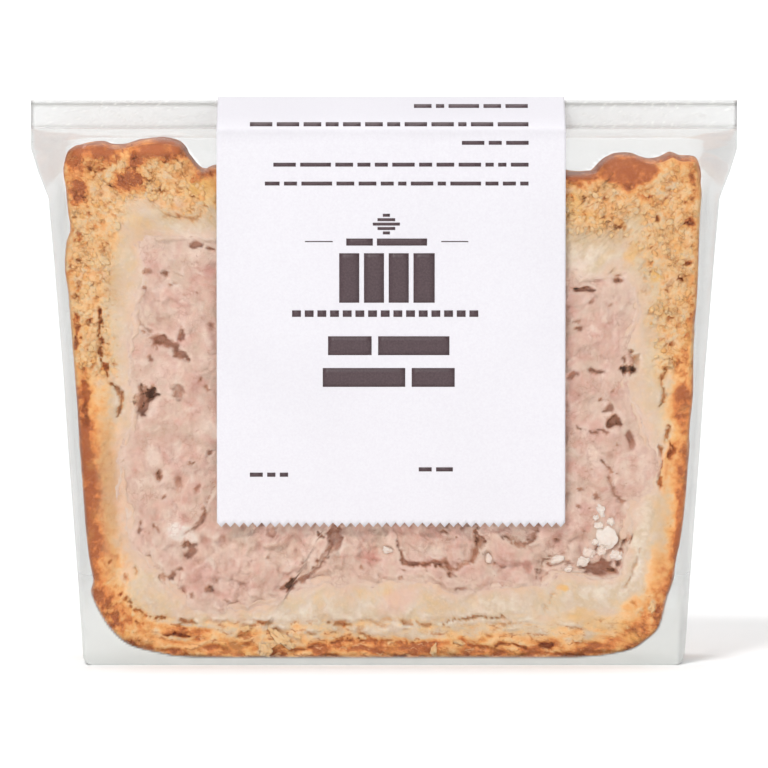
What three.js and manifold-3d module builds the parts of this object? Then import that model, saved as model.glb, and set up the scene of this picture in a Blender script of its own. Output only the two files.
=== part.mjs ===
// A slice of a loaf-shaped pork pie, standing upright in a clear heat-sealed bag
// with a paper label folded over the bag's top seal.
// Millimetres, +X to the right across the cut face, +Y away from it, +Z up.
// The origin is the centre of the bag's flat base.

import * as THREE from 'three';
import { mergeVertices } from 'three/addons/utils/BufferGeometryUtils.js';
import Module from 'manifold-3d';

const wasm = await Module();
wasm.setup();

// Driving dimensions
const GAP = 0.3;
const SLICE_HALF_DEPTH = 9.6;
const FACE_BUMP_LIMIT = 0.5;
const BAG_HALF_DEPTH = 10.4;
const BAG_HALF_WIDTH = 60.35;
const SEAL_HALF_THICKNESS = 0.4;
const ROOF_HEIGHT = 90.5;
const SEAL_FOOT_HEIGHT = 91.0;
const SEAL_TOP_HEIGHT = 95.9;
const LABEL_LEFT = -28.4;
const LABEL_RIGHT = 30.8;
const LABEL_THICKNESS = 0.3;
const LABEL_SHOULDER_HEIGHT = 91.1;
const LABEL_FOLD_HALF_WIDTH = 1.0;
const LABEL_TIP_HEIGHT = 23.6;
const LABEL_TOOTH_DEPTH = 0.8;
const LABEL_TOOTH_PITCH = 1.53;
const CUT_OVERSIZE = 3;

// Outline of the whole slice, seen from the front: [x, z] round the pie, left rim first
const CRUST_OUTLINE = [
  // left side, from the raised rim down
  [-51.3, 88.5], [-54.1, 87.0], [-54.5, 83.5], [-53.4, 74.5], [-54.1, 69.0],
  [-53.3, 59.0], [-51.8, 39.0], [-50.5, 20.0], [-49.6, 13.0], [-48.2, 8.1],
  // base
  [-44.8, 4.0], [-38.4, 1.8], [-30.0, 0.9], [0, 0.8], [26.5, 0.8], [39.5, 1.7],
  // right side, upwards
  [44.7, 4.0], [47.6, 8.0], [49.5, 16.0], [51.2, 27.0], [52.4, 43.0],
  [52.9, 58.0], [53.5, 71.0], [54.0, 82.5], [53.4, 86.0],
  // right rim with its smooth inner lobe
  [51.0, 86.6], [48.6, 86.9], [46.2, 85.8], [43.4, 86.6], [40.3, 86.8], [37.3, 85.6], [35.0, 83.8],
  // lid
  [30.8, 83.6], [0, 84.6], [-28.3, 84.4],
  // left rim with its peak
  [-31.4, 84.5], [-34.0, 87.3], [-36.2, 88.9], [-39.2, 89.4], [-42.6, 88.9], [-46.0, 88.3],
];

// Outline of the meat, anticlockwise from its upper left corner
const MEAT_OUTLINE = [
  [-40.7, 72.4], [-42.0, 63.2], [-43.3, 53.0], [-42.3, 46.0], [-44.9, 37.5], [-44.2, 25.0],
  [-38.6, 15.4], [-31.2, 9.4], [-18.0, 10.3], [-15.5, 12.7], [0, 14.0], [12.0, 12.6],
  [27.5, 13.9], [39.6, 15.6], [41.7, 24.0], [45.8, 32.0], [45.6, 38.0], [42.0, 47.0],
  [42.2, 57.0], [43.2, 63.0], [40.0, 66.2], [33.5, 65.8], [25.0, 71.0], [0, 73.5], [-29.0, 72.9],
];
const OUTLINE_STEPS_PER_SPAN = 2;

// Hollows that show on the cut face: [x, z, radius, depth]
const MEAT_HOLLOWS = [
  [-41.0, 46.5, 3.4, 2.6],
  [-36.0, 53.5, 2.6, 1.5],
  [-30.3, 48.8, 2.4, 1.8],
  [-37.6, 14.9, 2.2, 1.2],
  [-30.5, 26.5, 2.8, 1.6],
  [40.8, 51.6, 3.6, 2.6],
  [38.9, 42.2, 3.4, 2.6],
  [33.6, 64.4, 2.4, 1.4],
  [31.8, 58.0, 2.2, 1.3],
  [36.9, 16.6, 3.2, 2.4],
  [-12.5, 18.5, 2.8, 1.4],
  [12.0, 18.0, 3.0, 1.2],
];
const CRUST_HOLLOWS = [
  [-50.2, 68.0, 2.6, 1.8],
  [-47.8, 56.0, 2.4, 1.6],
  [-48.6, 80.5, 2.8, 1.6],
  [-40.5, 83.0, 2.6, 1.4],
  [-46.2, 45.5, 2.2, 1.4],
  [49.6, 77.0, 2.8, 1.8],
  [50.0, 63.0, 2.2, 1.4],
  [48.8, 50.0, 2.2, 1.4],
  [40.5, 8.0, 2.4, 1.2],
  [-36.0, 6.0, 2.6, 1.2],
];

// Relief of the cut faces
const RELIEF_CELL = 3.0;
const MEAT_LUMP_SIZE = 7.5;
const MEAT_LUMP_HEIGHT = 0.9;
const CRUMB_SIZE = 4.2;
const CRUMB_HEIGHT = 1.1;
const HOLLOW_RIM = 1.3;
const MEAT_SEEDS = { front: 1, back: 41 };
const CRUST_SEEDS = { front: 8, back: 47 };

// The pastry is crumbly at the sides, the rims and the base, and smooth beside the meat
const CRUMBLY_FROM_X = 41;
const CRUMBLY_ABOVE_Z = 73;
const CRUMBLY_BELOW_Z = 10;
const CRUMBLY_FADE = 7;
const SMOOTH_SHARE = 0.3;

// The baked skin's unevenness along the depth of the slice
const CRIMP_PITCH = 8.5;
const CRIMP_SLANT = 0.2;
const CRIMP_DEPTH = 0.9;
const CRIMP_FOOT_HEIGHT = 80;
const CRIMP_FADE = 5;
const RIM_INNER_X = 32;
const SKIN_WAVE_SIZE = 8;
const SKIN_WAVE_DEPTH = 0.7;
const SKIN_WAVE_FROM_X = 40;
const SKIN_WAVE_FADE = 8;
const SKIN_WAVE_SEED = 3;
const SKIN_STEPS = 8;

// Bag sections: [z, half width, half depth]
const BAG_SECTIONS = [
  [0, 49.9, 9.3],
  [0.6, 51.1, 10.1],
  [1.9, 51.7, BAG_HALF_DEPTH],
  [18.8, 52.9, BAG_HALF_DEPTH],
  [35.4, 54.1, BAG_HALF_DEPTH],
  [48.2, 54.9, BAG_HALF_DEPTH],
  [67.4, 56.4, BAG_HALF_DEPTH],
  [79.2, 57.4, BAG_HALF_DEPTH],
  [83.8, 59.2, BAG_HALF_DEPTH],
  [87.6, BAG_HALF_WIDTH, BAG_HALF_DEPTH],
  [ROOF_HEIGHT, BAG_HALF_WIDTH, BAG_HALF_DEPTH - 0.1],
  [SEAL_FOOT_HEIGHT, BAG_HALF_WIDTH, SEAL_HALF_THICKNESS],
  [SEAL_TOP_HEIGHT, BAG_HALF_WIDTH, SEAL_HALF_THICKNESS],
];
// The film runs flat over the pie and closes to a thin edge beyond it
const BAG_FLAT_MARGIN = 0.6;
const BAG_LEAST_MARGIN = 1;
const BAG_COLUMNS = 8;
const BAG_FULLNESS_BEYOND_PIE = [1, 0.66, 0];
const PIE_WIDTH_WINDOW = 6;

const MATERIALS = {
  pastry: new THREE.MeshStandardMaterial({ color: 0xdf9f66, roughness: 0.75, metalness: 0 }),
  filling: new THREE.MeshStandardMaterial({ color: 0xd8b09f, roughness: 0.55, metalness: 0 }),
  bag: new THREE.MeshStandardMaterial({
    color: 0xe6e4e1,
    roughness: 0.2,
    metalness: 0,
    transparent: true,
    opacity: 0.35,
  }),
  label: new THREE.MeshStandardMaterial({ color: 0xf8f5fb, roughness: 0.6, metalness: 0 }),
};

// Axes of flat outlines: an [x, z] outline is pushed along Y, a [y, z] outline along X
const OUTLINE_ALONG_Y = new THREE.Matrix4().makeBasis(
  new THREE.Vector3(1, 0, 0),
  new THREE.Vector3(0, 0, 1),
  new THREE.Vector3(0, -1, 0),
);
const OUTLINE_ALONG_X = new THREE.Matrix4().makeBasis(
  new THREE.Vector3(0, 1, 0),
  new THREE.Vector3(0, 0, 1),
  new THREE.Vector3(1, 0, 0),
);

function toSolid(geometry) {
  const bare = geometry.clone();
  bare.deleteAttribute('normal');
  bare.deleteAttribute('uv');
  const merged = mergeVertices(bare, 1e-4);
  return new wasm.Manifold(new wasm.Mesh({
    numProp: 3,
    vertProperties: Float32Array.from(merged.getAttribute('position').array),
    triVerts: Uint32Array.from(merged.index.array),
  }));
}

function toGeometry(solid) {
  const mesh = solid.getMesh();
  const geometry = new THREE.BufferGeometry();
  geometry.setAttribute('position', new THREE.BufferAttribute(mesh.vertProperties, 3));
  geometry.setIndex(new THREE.BufferAttribute(mesh.triVerts, 1));
  return geometry;
}

function namedMesh(name, geometry) {
  geometry.computeVertexNormals();
  const mesh = new THREE.Mesh(geometry, MATERIALS[name]);
  mesh.name = name;
  return mesh;
}

// Moves every vertex of a geometry by a rule that depends only on its place
function moveVertices(geometry, rule) {
  const positions = geometry.getAttribute('position');
  const point = new THREE.Vector3();
  for (let i = 0; i < positions.count; i += 1) {
    point.fromBufferAttribute(positions, i);
    rule(point);
    positions.setXYZ(i, point.x, point.y, point.z);
  }
  return geometry;
}

function latticeValue(i, j, seed) {
  const wave = Math.sin(i * 127.1 + j * 311.7 + seed * 74.7) * 43758.5453;
  return wave - Math.floor(wave);
}

// Smooth noise between -1 and 1
function smoothNoise(x, y, seed) {
  const { lerp, smoothstep } = THREE.MathUtils;
  const i = Math.floor(x);
  const j = Math.floor(y);
  const u = smoothstep(x - i, 0, 1);
  const v = smoothstep(y - j, 0, 1);
  const low = lerp(latticeValue(i, j, seed), latticeValue(i + 1, j, seed), u);
  const high = lerp(latticeValue(i, j + 1, seed), latticeValue(i + 1, j + 1, seed), u);
  return lerp(low, high, v) * 2 - 1;
}

function splineOutline(knots) {
  const points = knots.map(([x, z]) => new THREE.Vector2(x, z));
  const closed = new THREE.SplineCurve([...points, points[0]]);
  return closed.getPoints(knots.length * OUTLINE_STEPS_PER_SPAN).slice(0, -1);
}

// Grows an anticlockwise outline by a distance along its normals
function grownOutline(points, distance) {
  const count = points.length;
  return points.map((point, i) => {
    const along = points[(i + 1) % count].clone().sub(points[(i + count - 1) % count]);
    const outward = new THREE.Vector2(along.y, -along.x).normalize();
    return point.clone().addScaledVector(outward, distance);
  });
}

function prismAlongY(points, halfDepth, steps = 1) {
  const geometry = new THREE.ExtrudeGeometry(new THREE.Shape(points), {
    depth: halfDepth * 2,
    steps,
    bevelEnabled: false,
  });
  geometry.translate(0, 0, -halfDepth);
  return geometry.applyMatrix4(OUTLINE_ALONG_Y);
}

// Depth of the named hollows at a place on a face
function hollowDepth(x, z, hollows) {
  let depth = 0;
  for (const [centreX, centreZ, radius, deepest] of hollows) {
    const distance = Math.hypot(x - centreX, z - centreZ) / radius;
    depth = Math.max(depth, deepest * (1 - THREE.MathUtils.smoothstep(distance, 0, HOLLOW_RIM)));
  }
  return depth;
}

// How far the meat's face stands proud of the nominal cut: side is -1 in front and 1 behind
function meatRelief(x, z, side) {
  const seed = side > 0 ? MEAT_SEEDS.back : MEAT_SEEDS.front;
  const lumps = smoothNoise(x / MEAT_LUMP_SIZE, z / MEAT_LUMP_SIZE, seed) * MEAT_LUMP_HEIGHT;
  return lumps - hollowDepth(-side * x, z, MEAT_HOLLOWS);
}

// The same for the pastry
function crustRelief(x, z, side) {
  const seed = side > 0 ? CRUST_SEEDS.back : CRUST_SEEDS.front;
  const crumbs = smoothNoise(x / CRUMB_SIZE, z / CRUMB_SIZE, seed) * CRUMB_HEIGHT;
  const into = Math.max(Math.abs(x) - CRUMBLY_FROM_X, z - CRUMBLY_ABOVE_Z, CRUMBLY_BELOW_Z - z);
  const crumbly = THREE.MathUtils.smoothstep(into, 0, CRUMBLY_FADE);
  const share = THREE.MathUtils.lerp(SMOOTH_SHARE, 1, crumbly);
  return crumbs * share - hollowDepth(-side * x, z, CRUST_HOLLOWS);
}

// A slab as large as the pie whose two faces carry a relief
function reliefSlab(relief) {
  const width = BAG_HALF_WIDTH * 2;
  const columns = Math.round(width / RELIEF_CELL);
  const rows = Math.round(SEAL_TOP_HEIGHT / RELIEF_CELL);
  const slab = new THREE.BoxGeometry(width, SLICE_HALF_DEPTH * 2, SEAL_TOP_HEIGHT, columns, 1, rows);
  slab.translate(0, 0, SEAL_TOP_HEIGHT / 2);
  return toSolid(moveVertices(slab, (point) => {
    const side = Math.sign(point.y);
    const proud = Math.min(relief(point.x, point.z, side), FACE_BUMP_LIMIT);
    point.y = side * (SLICE_HALF_DEPTH + proud);
  }));
}

// The baked skin waves inwards along the depth: crimps at the rims, ripples on the sides
function waveSkin(point) {
  const { smoothstep } = THREE.MathUtils;
  const across = Math.abs(point.x);
  const wave = smoothNoise(point.y / SKIN_WAVE_SIZE, point.z / SKIN_WAVE_SIZE, SKIN_WAVE_SEED);
  const ripple = 0.5 + 0.5 * wave;
  const atSide = smoothstep(across, SKIN_WAVE_FROM_X, SKIN_WAVE_FROM_X + SKIN_WAVE_FADE);
  const atTop = smoothstep(point.z, CRIMP_FOOT_HEIGHT, CRIMP_FOOT_HEIGHT + CRIMP_FADE);
  const atRim = atTop * smoothstep(across, RIM_INNER_X, RIM_INNER_X + CRIMP_FADE);
  const crimpTurn = (point.y + point.x * CRIMP_SLANT) / CRIMP_PITCH;
  const crimp = 0.5 + 0.5 * Math.sin(crimpTurn * 2 * Math.PI);
  point.x -= Math.sign(point.x) * atSide * ripple * SKIN_WAVE_DEPTH;
  point.z -= atRim * crimp * CRIMP_DEPTH;
}

const crustOutline = splineOutline(CRUST_OUTLINE);
const meatOutline = splineOutline(MEAT_OUTLINE);
const throughDepth = SLICE_HALF_DEPTH + CUT_OVERSIZE;

function makePastry() {
  const skin = moveVertices(prismAlongY(crustOutline, throughDepth, SKIN_STEPS), waveSkin);
  const meatRoom = prismAlongY(grownOutline(meatOutline, GAP), throughDepth + CUT_OVERSIZE);
  const pastry = toSolid(skin).subtract(toSolid(meatRoom)).intersect(reliefSlab(crustRelief));
  return namedMesh('pastry', toGeometry(pastry));
}

function makeFilling() {
  const filling = toSolid(prismAlongY(meatOutline, throughDepth)).intersect(reliefSlab(meatRelief));
  return namedMesh('filling', toGeometry(filling));
}

// Half width of the pie near a height, for the stretch of film that lies flat on it
function pieHalfWidth(height) {
  const level = Math.min(height, Math.max(...crustOutline.map((point) => point.y)));
  const near = crustOutline.filter((point) => Math.abs(point.y - level) < PIE_WIDTH_WINDOW);
  return Math.max(...near.map((point) => Math.abs(point.x)));
}

// The air-filled bag round the slice: a box whose columns and rows follow the film's sections
function makeBag() {
  const rows = BAG_SECTIONS.length - 1;
  const form = new THREE.BoxGeometry(2, 2, rows, BAG_COLUMNS, 1, rows);
  form.translate(0, 0, rows / 2);
  moveVertices(form, (point) => {
    const [height, halfWidth, halfDepth] = BAG_SECTIONS[Math.round(point.z)];
    const widest = halfWidth - BAG_LEAST_MARGIN;
    const flatHalfWidth = Math.min(pieHalfWidth(height) + BAG_FLAT_MARGIN, widest);
    // the inner half of the columns crosses the pie, the outer half the margin beyond it
    const overPie = Math.min(Math.abs(point.x) * 2, 1);
    const beyondPie = Math.max(Math.abs(point.x) * 2 - 1, 0);
    const fullness = BAG_FULLNESS_BEYOND_PIE[Math.round(beyondPie * 2)];
    const reach = overPie * flatHalfWidth + beyondPie * (halfWidth - flatHalfWidth);
    point.x = Math.sign(point.x) * reach;
    point.y = Math.sign(point.y) * THREE.MathUtils.lerp(SEAL_HALF_THICKNESS, halfDepth, fullness);
    point.z = height;
  });
  const pieRoom = prismAlongY(grownOutline(crustOutline, GAP), BAG_HALF_DEPTH + CUT_OVERSIZE);
  return namedMesh('bag', toGeometry(toSolid(form).subtract(toSolid(pieRoom))));
}

// The label's strip in side view: up the front, over the seal and down the back
function labelStripShape() {
  const inner = BAG_HALF_DEPTH + GAP;
  const outer = inner + LABEL_THICKNESS;
  const innerTop = SEAL_TOP_HEIGHT + GAP;
  const outerTop = innerTop + LABEL_THICKNESS;
  const outerSide = [[outer, 0], [outer, LABEL_SHOULDER_HEIGHT], [LABEL_FOLD_HALF_WIDTH, outerTop]];
  const innerSide = [[LABEL_FOLD_HALF_WIDTH, innerTop], [inner, LABEL_SHOULDER_HEIGHT], [inner, 0]];
  const points = (side, sign) => side.map(([y, z]) => new THREE.Vector2(sign * y, z));
  return new THREE.Shape([
    ...points(outerSide, 1),
    ...points(outerSide, -1).reverse(),
    ...points(innerSide, -1).reverse(),
    ...points(innerSide, 1),
  ]);
}

// All that lies under the label's pinked edge
function belowPinkedEdge() {
  const width = LABEL_RIGHT - LABEL_LEFT;
  const teeth = Math.round(width / LABEL_TOOTH_PITCH);
  const pitch = width / teeth;
  const points = [];
  for (let i = -1; i <= teeth; i += 1) {
    const left = LABEL_LEFT + i * pitch;
    points.push(new THREE.Vector2(left, LABEL_TIP_HEIGHT + LABEL_TOOTH_DEPTH));
    points.push(new THREE.Vector2(left + pitch / 2, LABEL_TIP_HEIGHT));
  }
  points.push(new THREE.Vector2(LABEL_RIGHT + pitch * 2, -CUT_OVERSIZE));
  points.push(new THREE.Vector2(LABEL_LEFT - pitch * 2, -CUT_OVERSIZE));
  return toSolid(prismAlongY(points, BAG_HALF_DEPTH + CUT_OVERSIZE));
}

function makeLabel() {
  const strip = new THREE.ExtrudeGeometry(labelStripShape(), {
    depth: LABEL_RIGHT - LABEL_LEFT,
    bevelEnabled: false,
  });
  strip.translate(0, 0, LABEL_LEFT);
  strip.applyMatrix4(OUTLINE_ALONG_X);
  return namedMesh('label', toGeometry(toSolid(strip).subtract(belowPinkedEdge())));
}

const group = new THREE.Group();
group.add(makePastry(), makeFilling(), makeBag(), makeLabel());

export default group;
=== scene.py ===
import itertools
import math

import bpy
import numpy as np
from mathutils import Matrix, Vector


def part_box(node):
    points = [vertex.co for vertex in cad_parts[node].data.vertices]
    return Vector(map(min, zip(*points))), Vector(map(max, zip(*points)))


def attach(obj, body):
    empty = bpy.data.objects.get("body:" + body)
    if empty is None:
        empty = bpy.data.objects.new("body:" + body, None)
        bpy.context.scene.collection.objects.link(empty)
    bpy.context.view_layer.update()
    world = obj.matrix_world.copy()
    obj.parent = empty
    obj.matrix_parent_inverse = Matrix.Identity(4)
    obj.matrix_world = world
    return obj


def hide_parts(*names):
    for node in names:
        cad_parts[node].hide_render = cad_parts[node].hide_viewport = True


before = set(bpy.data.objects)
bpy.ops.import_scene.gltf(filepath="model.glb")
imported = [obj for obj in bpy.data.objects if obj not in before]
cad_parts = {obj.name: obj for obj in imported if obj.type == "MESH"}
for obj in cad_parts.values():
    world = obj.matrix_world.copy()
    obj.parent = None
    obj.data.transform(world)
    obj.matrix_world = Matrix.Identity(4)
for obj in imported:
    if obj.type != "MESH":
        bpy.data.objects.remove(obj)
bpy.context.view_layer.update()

# A slice of a loaf-shaped pork pie in a clear sealed bag with a folded paper label.
# Lengths are millimetres until a mesh is made. A face is drawn in [x, z]: x to the right
# across the cut, z up from the bag's base.

MM = 0.001

# The pack's main sizes, as in the solids
CUT_DEPTH = 9.6
FILM_DEPTH = 10.28
PROUD_LIMIT = 0.5
LABEL_LOW = np.array(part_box("label")[0]) / MM
LABEL_HIGH = np.array(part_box("label")[1]) / MM
SEAL_FOOT = 90.9
SEAL_TOP = 95.9
SEAL_HALF_THICKNESS = 0.22
PIE_CENTRE = np.array([0.0, 42.0])

# The photograph's view
PICTURE_WIDTH = 130.56
PICTURE_CENTRE_HEIGHT = 47.9
CAMERA_DISTANCE = 1200.0
CAMERA_ELEVATION = 3.5
SENSOR_WIDTH = 36.0

# Outline of the slice: left rim, left side, base, right side, right rim, lid, left rim's peak
CRUST_KNOTS = [
    (-51.3, 88.5), (-53.4, 87.9), (-54.3, 86.3), (-54.6, 83.6), (-54.1, 81.2), (-53.7, 77.5),
    (-53.3, 74.2), (-54.0, 71.8), (-54.2, 67.5), (-53.6, 63.0), (-53.3, 58.5), (-52.6, 49.5),
    (-51.9, 39.0), (-51.1, 27.0), (-50.4, 19.0), (-49.6, 14.4), (-50.0, 12.5), (-49.4, 10.5),
    (-48.2, 8.1), (-46.7, 5.9), (-44.8, 4.0), (-42.6, 2.8), (-38.4, 1.8), (-33.6, 1.1),
    (-20.0, 0.9), (0.0, 0.8), (14.0, 0.95), (26.5, 0.8), (35.2, 1.2), (39.5, 1.75), (42.7, 2.6),
    (44.9, 4.1), (46.6, 5.6), (47.5, 7.6), (48.2, 11.0), (49.3, 14.2), (49.7, 17.5), (50.6, 21.9),
    (51.5, 29.9), (52.0, 40.1), (52.6, 46.5), (52.6, 56.0), (53.2, 62.2), (53.5, 71.3),
    (53.7, 76.0), (54.0, 82.7), (53.6, 85.6), (52.4, 86.3), (50.6, 86.4), (49.0, 87.0),
    (47.2, 86.2), (45.2, 85.9), (42.4, 86.8), (39.8, 86.8), (37.5, 85.8), (36.0, 84.1),
    (34.8, 83.7), (30.8, 83.6), (15.0, 84.3), (0.0, 84.6), (-15.0, 84.6), (-28.3, 84.7),
    (-30.1, 84.1), (-31.6, 84.4), (-33.3, 86.6), (-34.3, 88.2), (-35.6, 89.0), (-38.4, 89.4),
    (-42.2, 88.9), (-44.4, 88.3), (-46.4, 88.3), (-48.3, 88.8),
]
# Outline of the meat, from its upper left corner
MEAT_KNOTS = [
    (-40.7, 72.4), (-41.2, 67.0), (-42.2, 61.0), (-43.2, 54.9), (-43.3, 49.4), (-42.3, 46.0),
    (-43.2, 41.5), (-44.7, 38.0), (-45.2, 33.5), (-44.4, 27.0), (-42.6, 20.5), (-38.8, 15.4),
    (-34.5, 11.4), (-30.8, 9.4), (-24.0, 9.4), (-17.6, 10.6), (-15.8, 12.6), (-8.0, 13.9),
    (0.0, 14.1), (8.0, 13.9), (13.0, 12.4), (20.0, 13.2), (26.7, 13.4), (29.3, 15.3),
    (34.5, 14.6), (39.6, 15.4), (41.0, 19.5), (41.9, 25.5), (45.4, 30.5), (46.3, 36.0),
    (43.6, 42.5), (41.8, 48.0), (41.5, 54.5), (43.2, 61.5), (41.5, 66.0), (37.0, 66.2),
    (33.6, 65.8), (30.8, 68.1), (20.0, 72.5), (0.0, 73.8), (-20.0, 73.6), (-30.0, 73.0),
]

# Hollows of the meat: x, z, half width, half height, turn in degrees, depth, darkness (own colour and painted
# shade)
MEAT_PITS = [
    (-41.0, 44.8, 1.2, 2.5, -8, 2.4, 0.7), (-39.6, 45.8, 1.0, 1.5, -25, 3.2, 1.5),
    (-37.6, 55.1, 1.9, 0.75, -18, 1.8, 0.8), (-34.7, 52.9, 1.7, 0.65, -52, 1.6, 0.7),
    (-34.6, 55.9, 0.7, 1.3, -20, 1.3, 0.6), (-39.8, 52.3, 0.5, 0.6, 0, 1.2, 0.7),
    (-40.6, 56.6, 0.35, 0.4, 0, 0.9, 0.7), (-35.0, 46.6, 1.5, 0.9, -60, 1.0, 0.3),
    (-31.1, 48.6, 0.45, 0.4, 0, 1.0, 0.8), (-30.1, 47.2, 0.6, 0.35, -40, 1.0, 0.8),
    (-38.3, 32.1, 0.55, 0.8, 20, 1.3, 0.85), (-37.3, 28.7, 0.7, 0.3, 10, 1.0, 0.7),
    (-30.5, 26.5, 0.45, 0.6, 0, 1.2, 0.8), (-30.9, 24.9, 0.3, 1.0, -15, 1.0, 0.7),
    (-41.6, 23.1, 0.28, 1.1, -15, 1.0, 0.8), (-39.0, 23.4, 0.3, 0.9, 30, 0.9, 0.7),
    (-33.2, 20.3, 1.2, 0.7, -20, 1.7, 0.8), (-33.0, 19.1, 0.8, 0.9, 0, 1.2, 0.45),
    (-37.5, 14.8, 0.85, 0.65, -35, 1.6, 0.9), (-36.0, 15.2, 0.6, 0.5, 0, 1.2, 0.5),
    (-34.9, 16.2, 0.6, 0.35, 30, 1.0, 0.6), (-29.9, 12.8, 0.6, 0.55, 30, 1.3, 0.85),
    (-26.8, 10.9, 0.6, 0.3, -15, 0.9, 0.5), (-32.6, 11.6, 0.4, 0.5, 0, 1.0, 0.6),
    (-28.7, 14.1, 0.35, 0.35, 0, 0.9, 0.8), (-40.2, 66.9, 0.9, 0.25, -8, 0.9, 0.7),
    (-37.4, 66.5, 0.6, 0.45, -30, 1.2, 0.85), (-40.9, 64.4, 0.45, 0.4, 0, 1.0, 0.7),
    (-36.0, 64.8, 0.7, 0.25, 10, 0.8, 0.5), (-32.1, 71.6, 1.2, 0.6, 15, 1.3, 0.5),
    (-29.6, 70.9, 0.9, 0.25, 0, 1.0, 0.7), (-29.2, 57.5, 0.8, 0.6, 0, 0.8, 0.35),
    (-29.6, 36.5, 0.5, 0.5, 0, 0.9, 0.5), (-32.5, 34.5, 0.35, 0.3, 0, 0.8, 0.7),
    (-34.9, 31.0, 0.7, 0.8, 20, 0.9, 0.4), (-31.8, 29.9, 0.4, 0.9, -25, 0.9, 0.5),
    (-15.8, 13.5, 1.15, 0.6, 48, 2.0, 1.3), (-13.7, 14.6, 0.9, 0.4, 40, 1.3, 0.7),
    (-17.0, 13.1, 0.6, 0.4, 0, 1.2, 0.6), (-8.3, 21.5, 1.1, 2.1, 12, 1.6, 0.35),
    (-10.8, 22.4, 0.55, 0.4, -30, 1.2, 0.85), (-7.8, 23.3, 0.8, 0.5, 0, 1.5, 0.85),
    (-3.9, 16.6, 0.35, 0.35, 0, 0.9, 0.7), (2.9, 15.0, 0.5, 0.35, 20, 1.0, 0.6),
    (-19.0, 22.6, 1.0, 0.9, 0, 0.8, 0.3), (-19.8, 18.0, 0.45, 0.35, 0, 0.8, 0.5),
    (9.8, 16.6, 0.7, 0.45, -20, 1.4, 0.75), (11.2, 15.3, 0.7, 0.4, 20, 1.4, 0.7),
    (16.5, 21.0, 0.75, 1.0, 15, 1.6, 0.75), (10.3, 22.6, 0.6, 0.3, -20, 1.2, 0.85),
    (12.3, 21.8, 0.35, 0.3, 0, 1.2, 0.95), (13.2, 12.9, 1.0, 0.35, 8, 1.2, 0.7),
    (22.5, 20.6, 0.9, 0.3, -35, 1.0, 0.6), (29.6, 21.3, 0.4, 0.4, 0, 1.2, 1.0),
    (20.3, 17.0, 0.6, 0.5, -40, 0.9, 0.4), (28.0, 17.0, 0.4, 0.5, 0, 1.0, 0.6),
    (41.3, 50.2, 0.95, 0.9, -10, 2.4, 1.4), (40.9, 52.1, 0.45, 0.7, 0, 1.6, 0.8),
    (42.4, 51.5, 1.3, 1.7, 0, 1.0, 0.3), (39.3, 41.3, 1.3, 0.95, -4, 2.2, 0.85),
    (38.3, 43.6, 0.6, 0.7, 0, 1.5, 0.5), (42.0, 38.4, 0.6, 1.6, 15, 1.4, 0.4),
    (32.9, 57.4, 0.6, 0.55, 30, 1.2, 0.75), (33.0, 58.6, 0.6, 0.2, 5, 0.9, 0.6),
    (32.1, 49.4, 0.8, 0.45, 10, 1.0, 0.5), (36.4, 50.0, 1.6, 0.5, -15, 1.2, 0.5),
    (38.8, 46.8, 0.28, 0.28, 0, 0.8, 0.8), (36.8, 45.0, 0.4, 0.3, 0, 0.9, 0.7),
    (38.9, 32.6, 0.3, 0.3, 0, 0.9, 0.9), (39.8, 37.4, 0.35, 0.35, 0, 1.0, 0.9),
    (33.9, 64.0, 1.6, 0.5, 8, 1.6, 0.95), (40.0, 65.9, 0.5, 0.55, -20, 1.4, 0.8),
    (38.9, 67.2, 0.6, 0.3, 50, 0.9, 0.6), (35.6, 61.8, 0.35, 0.3, 0, 0.9, 0.6),
    (38.2, 61.3, 0.35, 0.3, 0, 0.9, 0.6), (38.6, 58.3, 0.4, 0.3, 0, 0.8, 0.5),
    (36.6, 16.3, 3.2, 1.25, -4, 2.2, 0.5), (39.0, 15.8, 0.9, 0.6, -10, 2.2, 0.95),
    (40.2, 17.9, 0.35, 1.6, -18, 2.0, 0.9), (41.2, 20.9, 0.6, 1.5, -20, 1.8, 0.5),
    (31.3, 17.4, 0.7, 0.6, 0, 1.3, 0.6), (33.0, 26.7, 0.4, 0.5, 0, 1.0, 0.6),
    (36.1, 28.8, 0.35, 0.9, 10, 1.1, 0.7), (33.3, 29.8, 0.4, 0.3, 0, 0.9, 0.7),
]
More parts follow.
